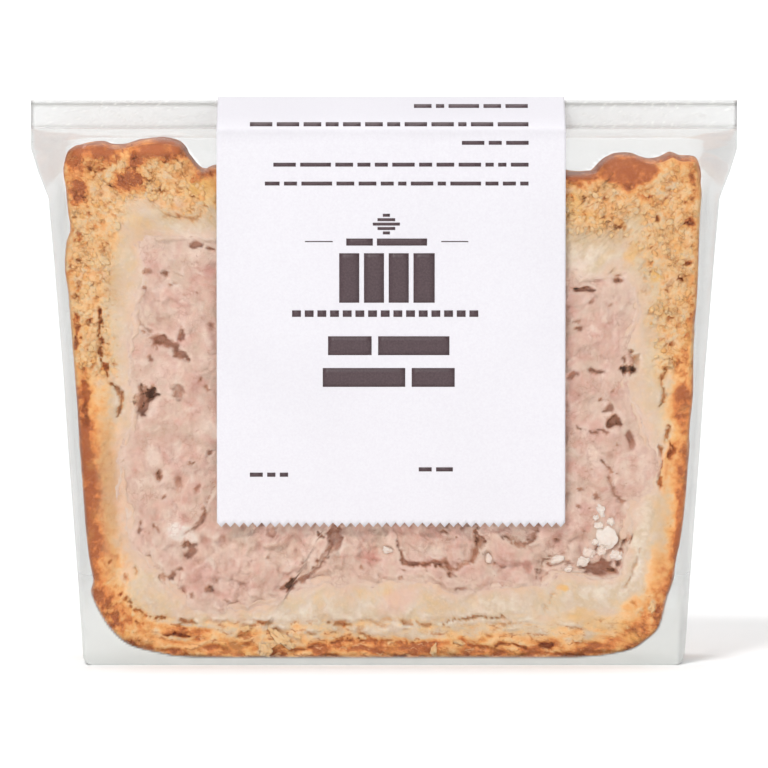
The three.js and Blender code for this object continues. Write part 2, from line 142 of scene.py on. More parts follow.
# Light smears of fat in the meat: x, z, half width, half height, turn, strength
MEAT_FAT = [
    (-34.6, 22.6, 2.7, 1.5, -20, 1.6), (-32.9, 21.3, 1.4, 1.0, 20, 1.5), (-37.5, 49.2, 2.0, 2.6, 10, 0.5),
    (-39.2, 35.4, 1.5, 2.0, 0, 0.8), (-35.8, 35.8, 0.8, 2.3, 25, 0.7),
    (-33.6, 26.7, 2.2, 0.7, 0, 0.5), (-36.3, 19.8, 1.8, 1.7, 30, 0.6), (-29.2, 69.0, 1.6, 1.2, 0, 0.4),
    (-40.0, 18.5, 1.4, 1.6, 0, 0.5), (-31.0, 52.2, 1.4, 0.9, 20, 0.5), (-31.0, 42.5, 1.6, 3.0, 0, 0.35),
    (-22.0, 18.0, 2.4, 1.7, 20, 0.5), (-12.8, 18.2, 3.4, 1.4, 35, 0.65), (-9.3, 22.6, 1.4, 1.0, 0, 0.6),
    (1.0, 19.6, 1.3, 0.8, 0, 0.6), (6.5, 19.0, 3.4, 1.5, 0, 0.6), (23.0, 22.0, 3.2, 1.5, 0, 0.6),
    (28.5, 19.3, 1.6, 0.8, 25, 0.6), (35.8, 35.4, 2.0, 2.4, 0, 0.7), (36.2, 43.0, 2.2, 1.8, 0, 0.5),
    (34.5, 39.5, 1.2, 1.6, 0, 0.5), (33.4, 52.5, 1.4, 1.6, 0, 0.4), (37.2, 48.6, 0.8, 1.8, 0, 0.5),
    (-34.0, 60.0, 1.8, 2.6, 0, 0.4), (-36.5, 69.8, 2.4, 1.4, 20, 0.5), (-27.5, 13.5, 3.0, 1.2, 0, 0.4),
    (-3.0, 15.1, 4.0, 0.5, 3, 0.3), (40.8, 60.0, 1.0, 3.0, 0, 0.5), (42.8, 45.2, 1.0, 1.8, 0, 0.6),
    (41.0, 34.0, 1.0, 2.0, 10, 0.7), (44.0, 34.4, 1.0, 3.0, 0, 0.8), (17.0, 15.2, 4.0, 0.5, 0, 0.3),
]
# Red and rosy patches of the meat: x, z, half width, half height, turn, strength
MEAT_RED = [
    (-29.8, 66.7, 0.9, 1.3, 0, 0.8), (-34.5, 54.9, 2.0, 0.8, 15, 0.6), (-2.6, 18.2, 1.5, 1.1, -15, 0.95),
    (-27.0, 22.6, 1.2, 0.9, 30, 0.6), (-19.5, 21.4, 2.2, 0.6, 10, 0.45), (31.2, 34.0, 1.2, 1.4, -30, 0.7),
    (33.0, 37.4, 1.0, 0.7, 0, 0.45), (34.2, 52.3, 1.6, 0.8, 0, 0.5), (31.9, 49.7, 1.0, 0.5, 0, 0.7),
    (42.9, 56.0, 0.5, 2.2, 5, 0.7), (40.6, 57.2, 0.5, 2.0, 5, 0.3), (-33.0, 13.0, 1.4, 0.7, -20, 0.6),
    (-28.2, 12.2, 2.0, 0.7, -20, 0.5), (29.5, 20.3, 1.0, 0.5, 60, 0.5), (20.5, 18.6, 2.0, 1.6, 0, 0.25),
    (24.5, 17.2, 2.0, 1.2, 0, 0.25), (-32.0, 30.5, 0.8, 1.6, -20, 0.5), (-30.3, 21.0, 0.9, 0.6, 0, 0.5),
    (-22.0, 13.5, 2.4, 1.0, 0, 0.3), (35.5, 41.0, 1.2, 0.6, 0, 0.3), (-35.5, 63.0, 1.6, 1.0, 0, 0.3),
    (-8.4, 23.6, 1.6, 0.6, 0, 0.4), (6.0, 21.8, 2.4, 0.6, 10, 0.3), (34.5, 24.0, 1.4, 1.0, 0, 0.4),
    (10.0, 17.3, 1.0, 0.5, 0, 0.6), (-33.5, 16.6, 1.2, 0.6, 20, 0.4),
]
# Grey, drier stretches of the meat
MEAT_GREY = [
    (-30.0, 47.5, 1.8, 3.4, 0, 0.7), (-33.0, 33.5, 1.6, 1.2, 0, 0.7), (36.5, 45.5, 2.0, 2.2, 0, 0.5),
    (-8.6, 20.6, 1.3, 2.4, 14, 0.8), (2.5, 17.5, 1.6, 2.4, 20, 0.4), (16.0, 22.0, 1.5, 1.6, 0, 0.6),
    (38.5, 62.5, 3.4, 1.6, 0, 0.4), (33.0, 61.5, 2.4, 1.6, 0, 0.4), (-36.4, 29.8, 1.6, 2.4, 0, 0.4),
    (40.6, 23.0, 1.0, 2.6, -8, 0.7), (32.0, 29.0, 1.8, 2.0, 0, 0.4), (14.0, 19.0, 1.4, 1.6, 0, 0.5),
    (-38.0, 21.0, 1.3, 2.0, 10, 0.4), (-33.5, 18.8, 1.4, 1.4, 0, 0.5), (-36.0, 72.0, 3.0, 1.0, 0, 0.3),
]
# Where the meat takes the colour of the dough beside it
MEAT_DOUGHY = [
    (-36.0, 71.8, 9.0, 2.6, 0, 0.8), (-41.8, 63.0, 2.4, 8.0, 0, 0.65), (40.8, 64.0, 3.0, 4.5, 20, 0.7),
    (42.4, 52.0, 1.8, 8.0, 0, 0.65), (-37.0, 12.6, 4.2, 2.0, -40, 0.6), (-22.0, 10.4, 6.0, 1.0, 0, 0.5),
    (44.5, 35.0, 1.6, 6.0, 0, 0.6), (33.0, 65.0, 5.0, 1.4, 0, 0.5),
]
# Long thin grooves of the meat: points, half width, depth, darkness
MEAT_GROOVES = [
    ([(-15.0, 13.9), (-12.5, 15.6), (-10.9, 16.8), (-9.0, 19.3), (-8.2, 20.9)], 0.35, 0.9, 0.3),
    ([(28.6, 19.0), (27.0, 17.0), (25.8, 15.0)], 0.3, 0.6, 0.3),
    ([(-43.0, 60.0), (-41.3, 57.6), (-39.6, 56.9), (-38.6, 53.2)], 0.25, 0.6, 0.35),
    ([(-36.0, 14.8), (-38.4, 16.4), (-40.0, 18.4)], 0.3, 0.7, 0.4),
    ([(-30.2, 27.6), (-29.0, 29.5), (-28.6, 32.0)], 0.22, 0.5, 0.35),
    ([(33.0, 40.4), (35.6, 39.7), (38.4, 39.6)], 0.25, 0.8, 0.4),
    ([(37.0, 35.0), (38.4, 33.0), (38.6, 30.5), (40.4, 27.6)], 0.3, 0.8, 0.4),
]
# Raised plates of torn meat: an edge with the plate on its left, height, reach
MEAT_LEDGES = [
    ([(16.0, 22.6), (16.3, 20.6), (15.9, 19.0), (15.4, 17.6), (13.7, 16.9), (12.6, 16.3), (11.3, 15.7),
      (10.6, 16.1), (10.2, 17.1), (9.0, 16.9), (4.2, 16.7), (2.8, 17.6), (2.6, 19.0)], 1.0, 5.0),
    ([(26.3, 23.0), (25.9, 21.4), (24.6, 20.1), (22.6, 20.5), (20.9, 21.5)], 0.7, 3.5),
    ([(-33.8, 22.6), (-32.6, 23.6), (-30.9, 25.4)], 0.5, 2.4),
    ([(-12.0, 16.9), (-10.6, 18.6), (-9.4, 20.6), (-9.2, 22.6)], 0.6, 4.0),
]

# Stains of the pastry: x, z, half width, half height, turn, strength
CRUST_DARK = [
    (-52.3, 85.6, 1.5, 2.8, 5, 0.75), (-51.8, 80.6, 1.5, 2.2, -5, 0.8), (-43.2, 82.3, 2.8, 2.2, 0, 0.75),
    (-42.0, 86.2, 1.4, 1.6, 10, 0.85), (-37.6, 87.8, 4.4, 1.8, -3, 0.7), (-35.0, 87.9, 1.0, 1.2, 0, 0.85),
    (-46.3, 86.2, 2.2, 1.2, 30, 0.45), (-49.2, 85.4, 2.4, 1.4, 0, 0.4), (-30.9, 83.3, 2.2, 0.7, 20, 0.6),
    (33.0, 83.2, 3.4, 0.8, 0, 0.9), (44.5, 79.4, 1.8, 0.8, -10, 0.4), (41.5, 81.5, 1.0, 1.6, 40, 0.45),
    (51.8, 75.1, 1.3, 1.1, 20, 0.5), (40.0, 75.1, 0.9, 1.0, -15, 0.5), (52.4, 81.6, 0.6, 2.4, 0, 0.45),
    (-52.2, 56.4, 0.7, 3.0, 0, 0.5), (-50.8, 44.6, 1.0, 4.6, 0, 0.65), (-47.4, 50.4, 0.7, 1.4, 10, 0.45),
    (-50.3, 29.0, 2.3, 15.0, 3, 0.5), (-48.4, 22.0, 1.6, 5.0, 6, 0.3),
    (43.5, 7.5, 4.6, 4.0, 40, 0.3), (-45.5, 10.5, 2.2, 2.6, 0, 0.35),
    (-42.0, 7.6, 3.2, 1.8, -35, 0.4), (-34.2, 5.6, 4.2, 1.0, -8, 0.7), (-26.0, 3.6, 3.0, 1.2, 0, 0.4),
    (-10.4, 2.5, 1.6, 0.9, 0, 0.75), (-3.0, 3.2, 6.5, 1.1, -3, 0.5), (5.5, 2.6, 4.0, 1.3, 3, 0.65),
    (16.5, 3.3, 4.0, 1.5, 0, 0.4), (27.6, 3.3, 2.6, 0.9, 15, 0.75), (24.5, 2.2, 4.0, 1.0, 10, 0.4),
    (34.5, 2.6, 5.0, 1.0, 8, 0.45), (42.4, 10.3, 1.6, 2.2, -15, 0.4), (44.6, 7.4, 2.4, 1.6, 0, 0.35),
    (47.3, 32.8, 1.0, 3.2, 0, 0.5), (48.8, 36.4, 0.9, 1.8, -20, 0.55), (50.6, 30.0, 1.2, 6.0, 3, 0.35),
    (50.4, 44.0, 1.2, 4.4, 0, 0.45), (50.8, 51.4, 1.5, 2.6, 0, 0.45), (52.3, 58.4, 0.9, 4.6, 0, 0.35),
    (-23.0, 5.6, 2.6, 0.8, 10, 0.3), (46.0, 15.8, 1.5, 4.6, -6, 0.35), (11.5, 4.4, 2.0, 0.9, 0, 0.45),
]
CRUST_PALE = [
    (-49.6, 59.0, 2.6, 15.0, 0, 0.22), (48.4, 66.0, 3.0, 12.0, 0, 0.3),
    (45.4, 33.8, 1.7, 3.6, 8, 0.9), (44.0, 24.6, 1.4, 5.6, -8, 0.95), (43.0, 16.0, 1.6, 3.6, -16, 0.8),
    (36.6, 11.6, 6.6, 2.0, 10, 0.7), (33.8, 69.6, 3.6, 3.8, 0, 1.0), (38.0, 70.4, 3.0, 2.4, -20, 0.6),
    (47.6, 70.8, 1.6, 4.6, 0, 0.5), (-31.0, 74.8, 2.6, 3.6, 0, 0.8), (-35.0, 75.6, 2.6, 1.6, 0, 0.7),
    (-17.6, 4.7, 1.5, 0.8, -35, 0.8), (-20.5, 2.7, 1.0, 1.3, 10, 0.7), (8.4, 2.4, 0.4, 0.9, -8, 0.6),
    (12.0, 5.4, 5.2, 1.0, 6, 0.8), (3.0, 5.5, 5.6, 1.0, -2, 0.8), (45.7, 10.0, 0.7, 1.1, 0, 0.6),
    (-46.0, 43.6, 1.0, 2.0, 0, 0.5), (47.5, 60.0, 1.2, 1.2, 0, 0.5), (-1.5, 9.0, 6.0, 2.0, 0, 0.6),
    (-46.2, 78.2, 1.0, 1.6, 0, 0.45), (20.0, 10.0, 6.0, 2.0, 0, 0.7), (-12.0, 8.5, 7.0, 1.6, 0, 0.6),
]
CRUST_YELLOW = [
    (-31.2, 81.3, 2.8, 1.5, 12, 0.9), (-30.0, 79.4, 1.8, 1.0, 0, 0.5), (-42.0, 75.2, 1.0, 2.6, 0, 0.35),
    (41.9, 70.1, 1.0, 1.9, -12, 0.75), (46.2, 66.5, 1.0, 1.2, 0, 0.95), (47.4, 60.1, 1.1, 1.1, 0, 0.5),
    (32.2, 78.6, 1.6, 2.6, 0, 0.6), (35.6, 76.0, 2.6, 1.2, -25, 0.4), (30.5, 13.2, 1.0, 0.55, 10, 1.0),
    (1.3, 11.5, 1.2, 1.8, 20, 0.5), (52.2, 54.2, 0.6, 3.4, 0, 0.5), (52.6, 34.0, 0.4, 4.0, 0, 0.4),
    (-25.0, 3.0, 3.0, 1.3, 0, 0.35), (33.5, 8.2, 3.0, 1.4, 0, 0.5), (38.6, 6.8, 2.6, 1.4, 0, 0.4),
    (42.5, 4.6, 1.6, 1.0, 0, 0.6), (-46.8, 65.6, 1.0, 1.0, 0, 0.35), (-47.2, 31.6, 0.9, 3.0, 0, 0.3),
]
CRUST_TAN = [
    (-46.9, 30.5, 1.6, 12.0, 2, 0.9), (-46.6, 19.0, 1.2, 5.0, 4, 0.5), (-46.6, 44.5, 1.1, 4.0, 0, 0.4),
    (47.6, 24.0, 1.2, 9.0, -4, 0.35), (-45.5, 64.0, 1.6, 4.0, 0, 0.3), (-41.5, 73.8, 3.0, 2.0, 30, 0.35),
    (-31.5, 76.5, 3.4, 1.8, 0, 0.3), (38.5, 73.2, 4.0, 1.6, -10, 0.35),
]
CRUST_ROSY = [
    (2.6, 11.2, 3.6, 2.0, 30, 1.0), (-34.9, 78.5, 0.8, 1.2, 20, 0.5), (-40.5, 78.6, 3.0, 1.4, 0, 0.3),
    (40.5, 27.0, 1.0, 2.2, 0, 0.3), (30.2, 80.8, 1.6, 0.8, 0, 0.5), (39.5, 67.8, 2.6, 1.4, 20, 0.5),
    (27.4, 7.9, 1.2, 0.8, 0, 0.4), (-44.0, 63.4, 1.2, 3.0, 0, 0.2), (38.0, 8.9, 1.6, 0.9, 0, 0.3),
    (-19.6, 6.8, 2.0, 0.7, 0, 0.3), (44.2, 45.0, 1.0, 3.0, 0, 0.3), (-44.4, 30.0, 1.8, 11.0, 2, 0.8),
    (-43.0, 17.5, 1.2, 4.0, -20, 0.5), (43.4, 52.0, 0.9, 8.0, 0, 0.4),
]
# Smooth rounded lobes of the rims: x, z, half width, half height, turn, rise
CRUST_LOBES = [
    (41.2, 84.3, 5.4, 2.5, -4, 0.35), (-49.2, 87.7, 3.9, 1.5, -4, 0.25), (-38.3, 88.1, 4.8, 1.6, 0, 0.3),
    (33.5, 83.1, 3.0, 0.9, 0, 0.2), (50.9, 22.0, 1.4, 9.0, -4, 0.1),
]
# Hollows of the pastry, as those of the meat
CRUST_PITS = [
    (-49.8, 84.6, 0.35, 0.9, 30, 1.0, 0.9), (-50.1, 76.8, 0.6, 0.45, 0, 1.1, 0.7),
    (-51.6, 73.1, 0.5, 0.7, 20, 1.1, 0.7), (-46.2, 81.4, 0.5, 0.4, 0, 1.3, 1.0),
    (-47.6, 70.9, 0.35, 0.6, 0, 1.0, 0.6), (-52.2, 69.3, 0.35, 1.1, 35, 1.0, 0.8),
    (-53.0, 67.9, 0.4, 0.4, 0, 0.9, 0.8), (-52.0, 65.0, 0.45, 0.6, 0, 1.0, 0.7),
    (-42.2, 86.4, 0.4, 0.45, 0, 1.2, 1.0), (-38.8, 80.8, 0.9, 0.3, -10, 0.9, 0.8),
    (-40.0, 82.6, 0.7, 0.3, -30, 0.8, 0.6), (-47.9, 84.2, 1.3, 0.3, 25, 0.9, 0.6),
    (40.0, 75.0, 0.6, 0.8, -20, 1.4, 0.7), (51.8, 75.1, 0.8, 0.7, 20, 1.5, 0.7),
    (46.6, 75.8, 0.6, 0.6, 10, 1.2, 0.8), (52.4, 81.9, 0.3, 1.6, 0, 0.8, 0.6),
    (37.6, 79.3, 0.45, 0.5, 0, 1.2, 0.9), (33.9, 79.2, 0.3, 0.8, 25, 1.0, 0.9),
    (51.7, 68.2, 0.5, 0.55, 0, 1.1, 0.8), (50.6, 65.7, 0.6, 0.5, 0, 1.1, 0.7),
    (48.4, 63.6, 0.5, 0.4, 0, 1.0, 0.7), (42.4, 78.7, 0.4, 0.35, 0, 0.9, 0.6),
    (48.9, 54.6, 0.6, 0.5, 0, 1.1, 0.8), (48.6, 59.0, 0.6, 0.3, 10, 1.0, 0.7),
    (47.3, 48.6, 0.35, 1.1, 5, 1.2, 0.7), (48.1, 39.1, 0.3, 1.3, -8, 1.1, 0.7),
    (48.8, 36.0, 0.5, 0.7, -20, 1.2, 0.9), (42.6, 10.2, 0.3, 0.6, 10, 0.8, 0.45),
    (44.5, 7.5, 0.4, 0.25, 10, 0.7, 0.4), (27.6, 3.2, 1.7, 0.5, 12, 1.4, 0.9),
    (-42.1, 6.9, 0.4, 0.5, 20, 1.2, 0.8), (-44.0, 11.4, 0.5, 0.4, 0, 1.0, 0.6),
    (-34.8, 4.9, 2.4, 0.4, -8, 1.4, 0.9), (-33.6, 7.3, 1.9, 0.4, -12, 1.1, 0.7),
    (-20.3, 6.9, 1.7, 0.4, -5, 0.9, 0.6), (-7.4, 6.9, 1.8, 0.35, -8, 1.1, 0.7),
    (-12.2, 5.3, 0.8, 0.35, 0, 1.0, 0.7), (-24.0, 5.2, 0.9, 0.4, 30, 1.0, 0.5),
    (-3.0, 5.0, 1.4, 0.3, -15, 1.0, 0.6), (17.8, 5.0, 0.8, 0.3, 0, 0.9, 0.6),
    (21.3, 6.6, 0.9, 0.3, 20, 0.9, 0.6), (-50.0, 58.4, 0.4, 0.8, 0, 1.0, 0.8),
    (-52.2, 62.4, 0.5, 0.5, 0, 1.0, 0.8), (-46.8, 17.2, 0.4, 0.5, 0, 0.8, 0.6),
    (-43.8, 14.4, 0.35, 0.9, 0, 0.8, 0.5), (-42.3, 16.0, 0.3, 1.0, 0, 0.8, 0.4),
]
# Cracks of the pastry: points, half width, depth, darkness
CRUST_CRACKS = [
    ([(-48.4, 60.5), (-48.1, 58.6), (-48.5, 57.2), (-47.9, 55.4), (-48.4, 53.4), (-47.9, 51.7),
      (-47.3, 49.9), (-45.7, 47.6), (-44.7, 45.9), (-44.6, 44.0), (-45.5, 41.8)], 0.42, 1.4, 0.6),
    ([(-51.0, 48.4), (-50.6, 45.6), (-50.9, 43.0), (-50.4, 40.8)], 0.5, 0.9, 0.5),
    ([(-52.3, 60.0), (-52.1, 57.0), (-52.3, 54.0)], 0.4, 0.8, 0.5),
    ([(2.7, 7.0), (5.6, 7.2), (8.2, 6.7)], 0.22, 0.7, 0.55),
    ([(9.9, 7.0), (11.6, 7.5), (13.4, 7.7), (16.4, 8.1), (20.4, 8.1)], 0.25, 0.8, 0.6),
    ([(47.8, 50.5), (47.2, 48.0), (47.7, 45.6), (46.8, 44.4)], 0.3, 1.0, 0.5),
    ([(48.6, 41.0), (48.2, 39.0), (48.7, 37.4), (49.4, 36.4)], 0.3, 1.0, 0.6),
    ([(47.0, 37.0), (47.3, 34.8), (46.8, 32.6), (47.0, 30.4)], 0.35, 1.1, 0.5),
    ([(28.9, 12.3), (27.9, 10.3), (26.7, 8.6)], 0.3, 0.4, 0.2),
    ([(-36.8, 76.7), (-34.0, 76.3), (-32.0, 75.8), (-31.0, 76.8), (-30.4, 78.2)], 0.4, 0.6, 0.3),
    ([(-16.0, 2.6), (-12.0, 3.0), (-6.0, 4.4), (0.0, 3.9), (5.0, 3.8)], 0.3, 0.8, 0.45),
    ([(12.0, 3.9), (16.0, 3.0), (21.0, 3.6), (25.0, 3.0)], 0.28, 0.8, 0.5),
    ([(43.4, 19.5), (42.7, 17.0), (42.2, 14.8), (40.9, 13.0)], 0.25, 0.5, 0.3),
    ([(-44.8, 12.0), (-42.6, 9.6), (-40.0, 8.2), (-37.4, 7.8)], 0.3, 1.0, 0.5),
]

# White lumps of fat that stand proud of the cut: x, z, half width, half height, turn
FAT_LUMPS = [
    (37.8, 21.6, 1.9, 1.9, -25), (36.9, 26.4, 0.75, 1.0, 15),
    (34.9, 19.1, 1.0, 0.9, 30), (33.9, 17.6, 1.2, 0.8, 20), (31.4, 16.3, 0.75, 0.5, 25),
    (29.5, 18.0, 1.1, 0.6, 20), (17.8, 18.2, 0.55, 1.0, 12), (0.5, 19.6, 0.9, 0.65, -15),
    (39.6, 18.6, 1.1, 0.8, 0), (36.6, 23.7, 0.8, 0.6, 0), (37.0, 19.4, 0.7, 0.9, -40),
    (38.6, 24.4, 0.7, 0.7, 0),
    (35.9, 20.9, 0.6, 0.5, 10), (36.1, 25.1, 0.5, 0.5, 0),
]


def linear(red, green, blue):
    """A colour as seen on a screen, 0 to 255, as the shader's linear numbers."""
    seen = np.array([red, green, blue]) / 255.0
    value = np.where(seen <= 0.04045, seen / 12.92, ((seen + 0.055) / 1.055) ** 2.4)
    return (*value.tolist(), 1.0)


def smoothstep(low, high, value):
    share = np.clip((value - low) / (high - low), 0.0, 1.0)
    return share * share * (3.0 - 2.0 * share)


# Repeatable noise

HASH_PRIMES = (0x9E3779B97F4A7C15, 0xC2B2AE3D27D4EB4F, 0x165667B19E3779F9)
HASH_BITS = 53


def hashed(cells, seed):
    """A random number from 0 to 1 for each row of whole numbers."""
    mix = np.full(cells.shape[:-1], (seed + 11) * 7919, dtype=np.uint64)
    for axis in range(cells.shape[-1]):
        mix = (mix ^ cells[..., axis].astype(np.int64).view(np.uint64)) * np.uint64(HASH_PRIMES[axis])
        mix ^= mix >> np.uint64(31)
    return (mix >> np.uint64(64 - HASH_BITS)).astype(float) / float(1 << HASH_BITS)


def noise(points, size, seed):
    """Smooth noise, about -1 to 1, with features of the given size."""
    scaled = points / size
    base = np.floor(scaled)
    offset = scaled - base
    fade = offset**3 * (offset * (offset * 6 - 15) + 10)
    axes = points.shape[-1]
    total = np.zeros(points.shape[:-1])
    for corner in itertools.product((0, 1), repeat=axes):
        step = np.array(corner)
        weight = np.prod(np.where(step == 1, fade, 1 - fade), axis=-1)
        slope = np.stack([hashed(base + step, seed * 5 + axis) * 2 - 1 for axis in range(axes)], axis=-1)
        total += weight * np.sum(slope * (offset - step), axis=-1)
    return total * 1.7


def layered_noise(points, size, seed, layers=3, gain=0.5):
    total = np.zeros(points.shape[:-1])
    for layer in range(layers):
        total += gain**layer * noise(points, size * 0.5**layer, seed + layer)
    return total


def grains(points, size, seed):
    """Each point's distance to its nearest grain centre and to the second, in sizes, and its grain's number."""
    scaled = points / size
    base = np.floor(scaled)
    nearest = np.full(points.shape[:-1], 9.0)
    second = nearest.copy()
    token = np.zeros(points.shape[:-1])
    for corner in itertools.product((-1, 0, 1), repeat=2):
        cell = base + np.array(corner)
        centre = cell + np.stack([hashed(cell, seed), hashed(cell, seed + 1)], axis=-1)
        distance = np.hypot(*np.moveaxis(scaled - centre, -1, 0))
        closer = distance < nearest
        second = np.where(closer, nearest, np.minimum(second, distance))
        token = np.where(closer, hashed(cell, seed + 2), token)
        nearest = np.where(closer, distance, nearest)
    return nearest, second, token


def lumps(points, size, seed, sharpness=9.0):
    """Plateaus of random height, -0.5 to 0.5, about size wide, that round into one another."""
    scaled = points / size
    base = np.floor(scaled)
    total = np.zeros(points.shape[:-1])
    weights = np.full(points.shape[:-1], 1e-12)
    for corner in itertools.product((-1, 0, 1), repeat=2):
        cell = base + np.array(corner)
        centre = cell + np.stack([hashed(cell, seed), hashed(cell, seed + 1)], axis=-1)
        weight = np.exp(-sharpness * np.sum((scaled - centre) ** 2, axis=-1))
        total += weight * (hashed(cell, seed + 2) - 0.5)
        weights += weight
    return total / weights


def blurred(values, reach, wrap_rows=False):
    """A grid of values averaged over reach rows and columns to each side. Columns run round."""
    total = np.zeros_like(values)
    for shift in range(-reach, reach + 1):
        total += np.roll(values, shift, axis=1)
    values = total / (2 * reach + 1)
    ends = np.pad(values, ((reach, reach), (0, 0)), mode="wrap" if wrap_rows else "edge")
    total = np.zeros_like(values)
    for shift in range(2 * reach + 1):
        total += ends[shift:shift + len(values)]
    return total / (2 * reach + 1)


def soft_limit(values, limit, softness=0.12):
    """The values eased to stay under the limit."""
    return limit - softness * np.logaddexp(0, (limit - values) / softness)


def torn_layers(points, size, seed, step=0.45):
    """Flat patches with steep torn edges between them."""
    level = layered_noise(points, size, seed, 2) / step
    whole = np.floor(level)
    return (whole + smoothstep(0.3, 0.7, level - whole)) * step


def warped(points, seed, broad=0.55, fine=0.22):
    """The points pushed about a little, so that what is drawn on them gets ragged edges."""
    push = [
        broad * noise(points, 1.9, seed + axis) + fine * noise(points, 0.6, seed + 5 + axis)
        for axis in range(2)
    ]
    return points + np.stack(push, axis=-1)


# Features of a cut face

def spot(points, x, z, half_width, half_height, turn, softness=0.35):
    """1 inside a tilted ellipse, fading to 0 round its edge."""
    angle = math.radians(turn)
    across = points[..., 0] - x
    up = points[..., 1] - z
    along = (across * math.cos(angle) + up * math.sin(angle)) / half_width
    over = (up * math.cos(angle) - across * math.sin(angle)) / half_height
    return 1 - smoothstep(1 - softness, 1 + softness, np.hypot(along, over))


def spots(points, listed, softness=0.35):
    """The strongest of the listed spots at each point."""
    strongest = np.zeros(points.shape[:-1])
    for x, z, half_width, half_height, turn, strength in listed:
        within = spot(points, x, z, half_width, half_height, turn, softness)
        strongest = np.maximum(strongest, strength * within)
    return strongest


def pits(points, listed, seed):
    """Depth and darkness of the listed hollows, with torn edges; the darkness is their own colour and painted
    shade.
    """
    depth = np.zeros(points.shape[:-1])
    dark = np.zeros(points.shape[:-1])
    torn = 0.75 * noise(points, 1.0, seed) + 0.55 * noise(points, 0.45, seed + 1)
    patchy = 0.62 + 0.36 * smoothstep(-0.4, 0.4, noise(points, 0.8, seed + 2))
    for x, z, half_width, half_height, turn, deepest, darkness in listed:
        whole = spot(points, x, z, half_width, half_height, turn, 0.6)
        whole = whole + torn * 2.8 * whole * (1 - whole)
        deepest *= min(1.0, 0.35 + 0.65 * math.sqrt(half_width * half_height))
        depth = np.maximum(depth, deepest * smoothstep(0.3, 0.85, whole))
        # Painted shadow: the dark core is set up and to the left, where the hollow's wall lies in shadow
        core_x, core_z = x - 0.22 * half_width, z + 0.28 * half_height
        core = spot(points, core_x, core_z, half_width, half_height, turn, 0.75)
        core = core + torn * 2.4 * core * (1 - core)
        dark = np.maximum(dark, darkness * smoothstep(0.15, 1.0, core) * patchy)
    return depth, dark


def from_line(points, line):
    """Distance of each point from a line of points, positive on its left."""
    best = np.full(points.shape[:-1], 1e9)
    signed = best.copy()
    line = np.array(line)
    for start, end in zip(line[:-1], line[1:]):
        along = end - start
        reach = np.clip(((points - start) @ along) / (along @ along), 0, 1)
        off = points - (start + reach[..., None] * along)
        distance = np.hypot(off[..., 0], off[..., 1])
        side = np.sign(along[0] * off[..., 1] - along[1] * off[..., 0])
        closer = distance < best
        best = np.where(closer, distance, best)
        signed = np.where(closer, distance * side, signed)
    return signed


def grooves(points, listed, seed):
    depth = np.zeros(points.shape[:-1])
    dark = np.zeros(points.shape[:-1])
    wander = 0.8 + 0.9 * noise(points, 1.6, seed) + 0.6 * noise(points, 0.6, seed + 1)
    for line, half_width, deepest, darkness in listed:
        width = half_width * np.clip(wander, 0.05, 2.2)
        inside = 1 - smoothstep(0.35, 1.3, np.abs(from_line(points, line)) / width)
        depth = np.maximum(depth, deepest * inside)
        dark = np.maximum(dark, darkness * inside)
    return depth, dark


def ledges(points, listed):
    """Height of the listed plates at each point, and the shade at the foot of their edges."""
    height = np.zeros(points.shape[:-1])
    shade = np.zeros(points.shape[:-1])
    for line, rise, reach in listed:
        signed = from_line(points, line)
        height += rise * smoothstep(-0.12, 0.22, signed) * (1 - smoothstep(0.4 * reach, reach, signed))
        foot = smoothstep(-1.1, -0.25, signed) * smoothstep(0.15, -0.1, signed)
        shade = np.maximum(shade, min(rise, 1) * foot)
    return height, shade


# Outlines

def closed_curve(knots, steps=12):
    """A smooth closed curve through the knots."""
    knots = np.array(knots)
    before, after, later = (np.roll(knots, shift, axis=0) for shift in (1, -1, -2))
    share = np.linspace(0, 1, steps, endpoint=False)[None, :, None]
    a, b, c, d = (part[:, None, :] for part in (before, knots, after, later))
    curve = 0.5 * (
        2 * b + (c - a) * share + (2 * a - 5 * b + 4 * c - d) * share**2
        + (3 * b - a - 3 * c + d) * share**3
    )
    return curve.reshape(-1, 2)


def respaced(curve, spacing):
    """Points along a closed curve whose distance apart is spacing(point)."""
    loop = np.vstack([curve, curve[:1]])
    lengths = np.hypot(*np.diff(loop, axis=0).T)
    middle = (loop[1:] + loop[:-1]) / 2
    steps = np.concatenate([[0], np.cumsum(lengths / spacing(middle))])
    wanted = np.linspace(0, steps[-1], int(round(steps[-1])), endpoint=False)
    return np.stack([np.interp(wanted, steps, loop[:, axis]) for axis in range(2)], axis=-1)


def outward_normals(curve):
    along = np.roll(curve, -1, axis=0) - np.roll(curve, 1, axis=0)
    normal = np.stack([along[:, 1], -along[:, 0]], axis=-1)
    return normal / np.linalg.norm(normal, axis=1, keepdims=True)


def nearest_distance(points, curve):
    """Distance of each point from a curve of close points."""
    flat = points.reshape(-1, 2)
    best = np.empty(len(flat))
    chunk = 4000
    for start in range(0, len(flat), chunk):
        off = flat[start:start + chunk, None, :] - curve[None, :, :]
        best[start:start + chunk] = np.sqrt(np.min(np.sum(off * off, axis=-1), axis=1))
    return best.reshape(points.shape[:-1])


def angles_about_centre(points):
    return np.arctan2(points[..., 1] - PIE_CENTRE[1], points[..., 0] - PIE_CENTRE[0])


def reach_in_direction(curve, angles):
    """How far the curve is from the pie's centre in each direction."""
    own = angles_about_centre(curve)
    order = np.argsort(own)
    distance = np.linalg.norm(curve - PIE_CENTRE, axis=1)
    return np.interp(angles, own[order], distance[order], period=2 * math.pi)


LABEL_EDGES = (LABEL_LOW[0] + 1.5, LABEL_HIGH[0] - 1.5)
LABEL_BOTTOM = LABEL_LOW[2] + 2.0


def under_label(points):
    inside = (points[..., 0] > LABEL_EDGES[0]) & (points[..., 0] < LABEL_EDGES[1])
    return inside & (points[..., 1] > LABEL_BOTTOM)


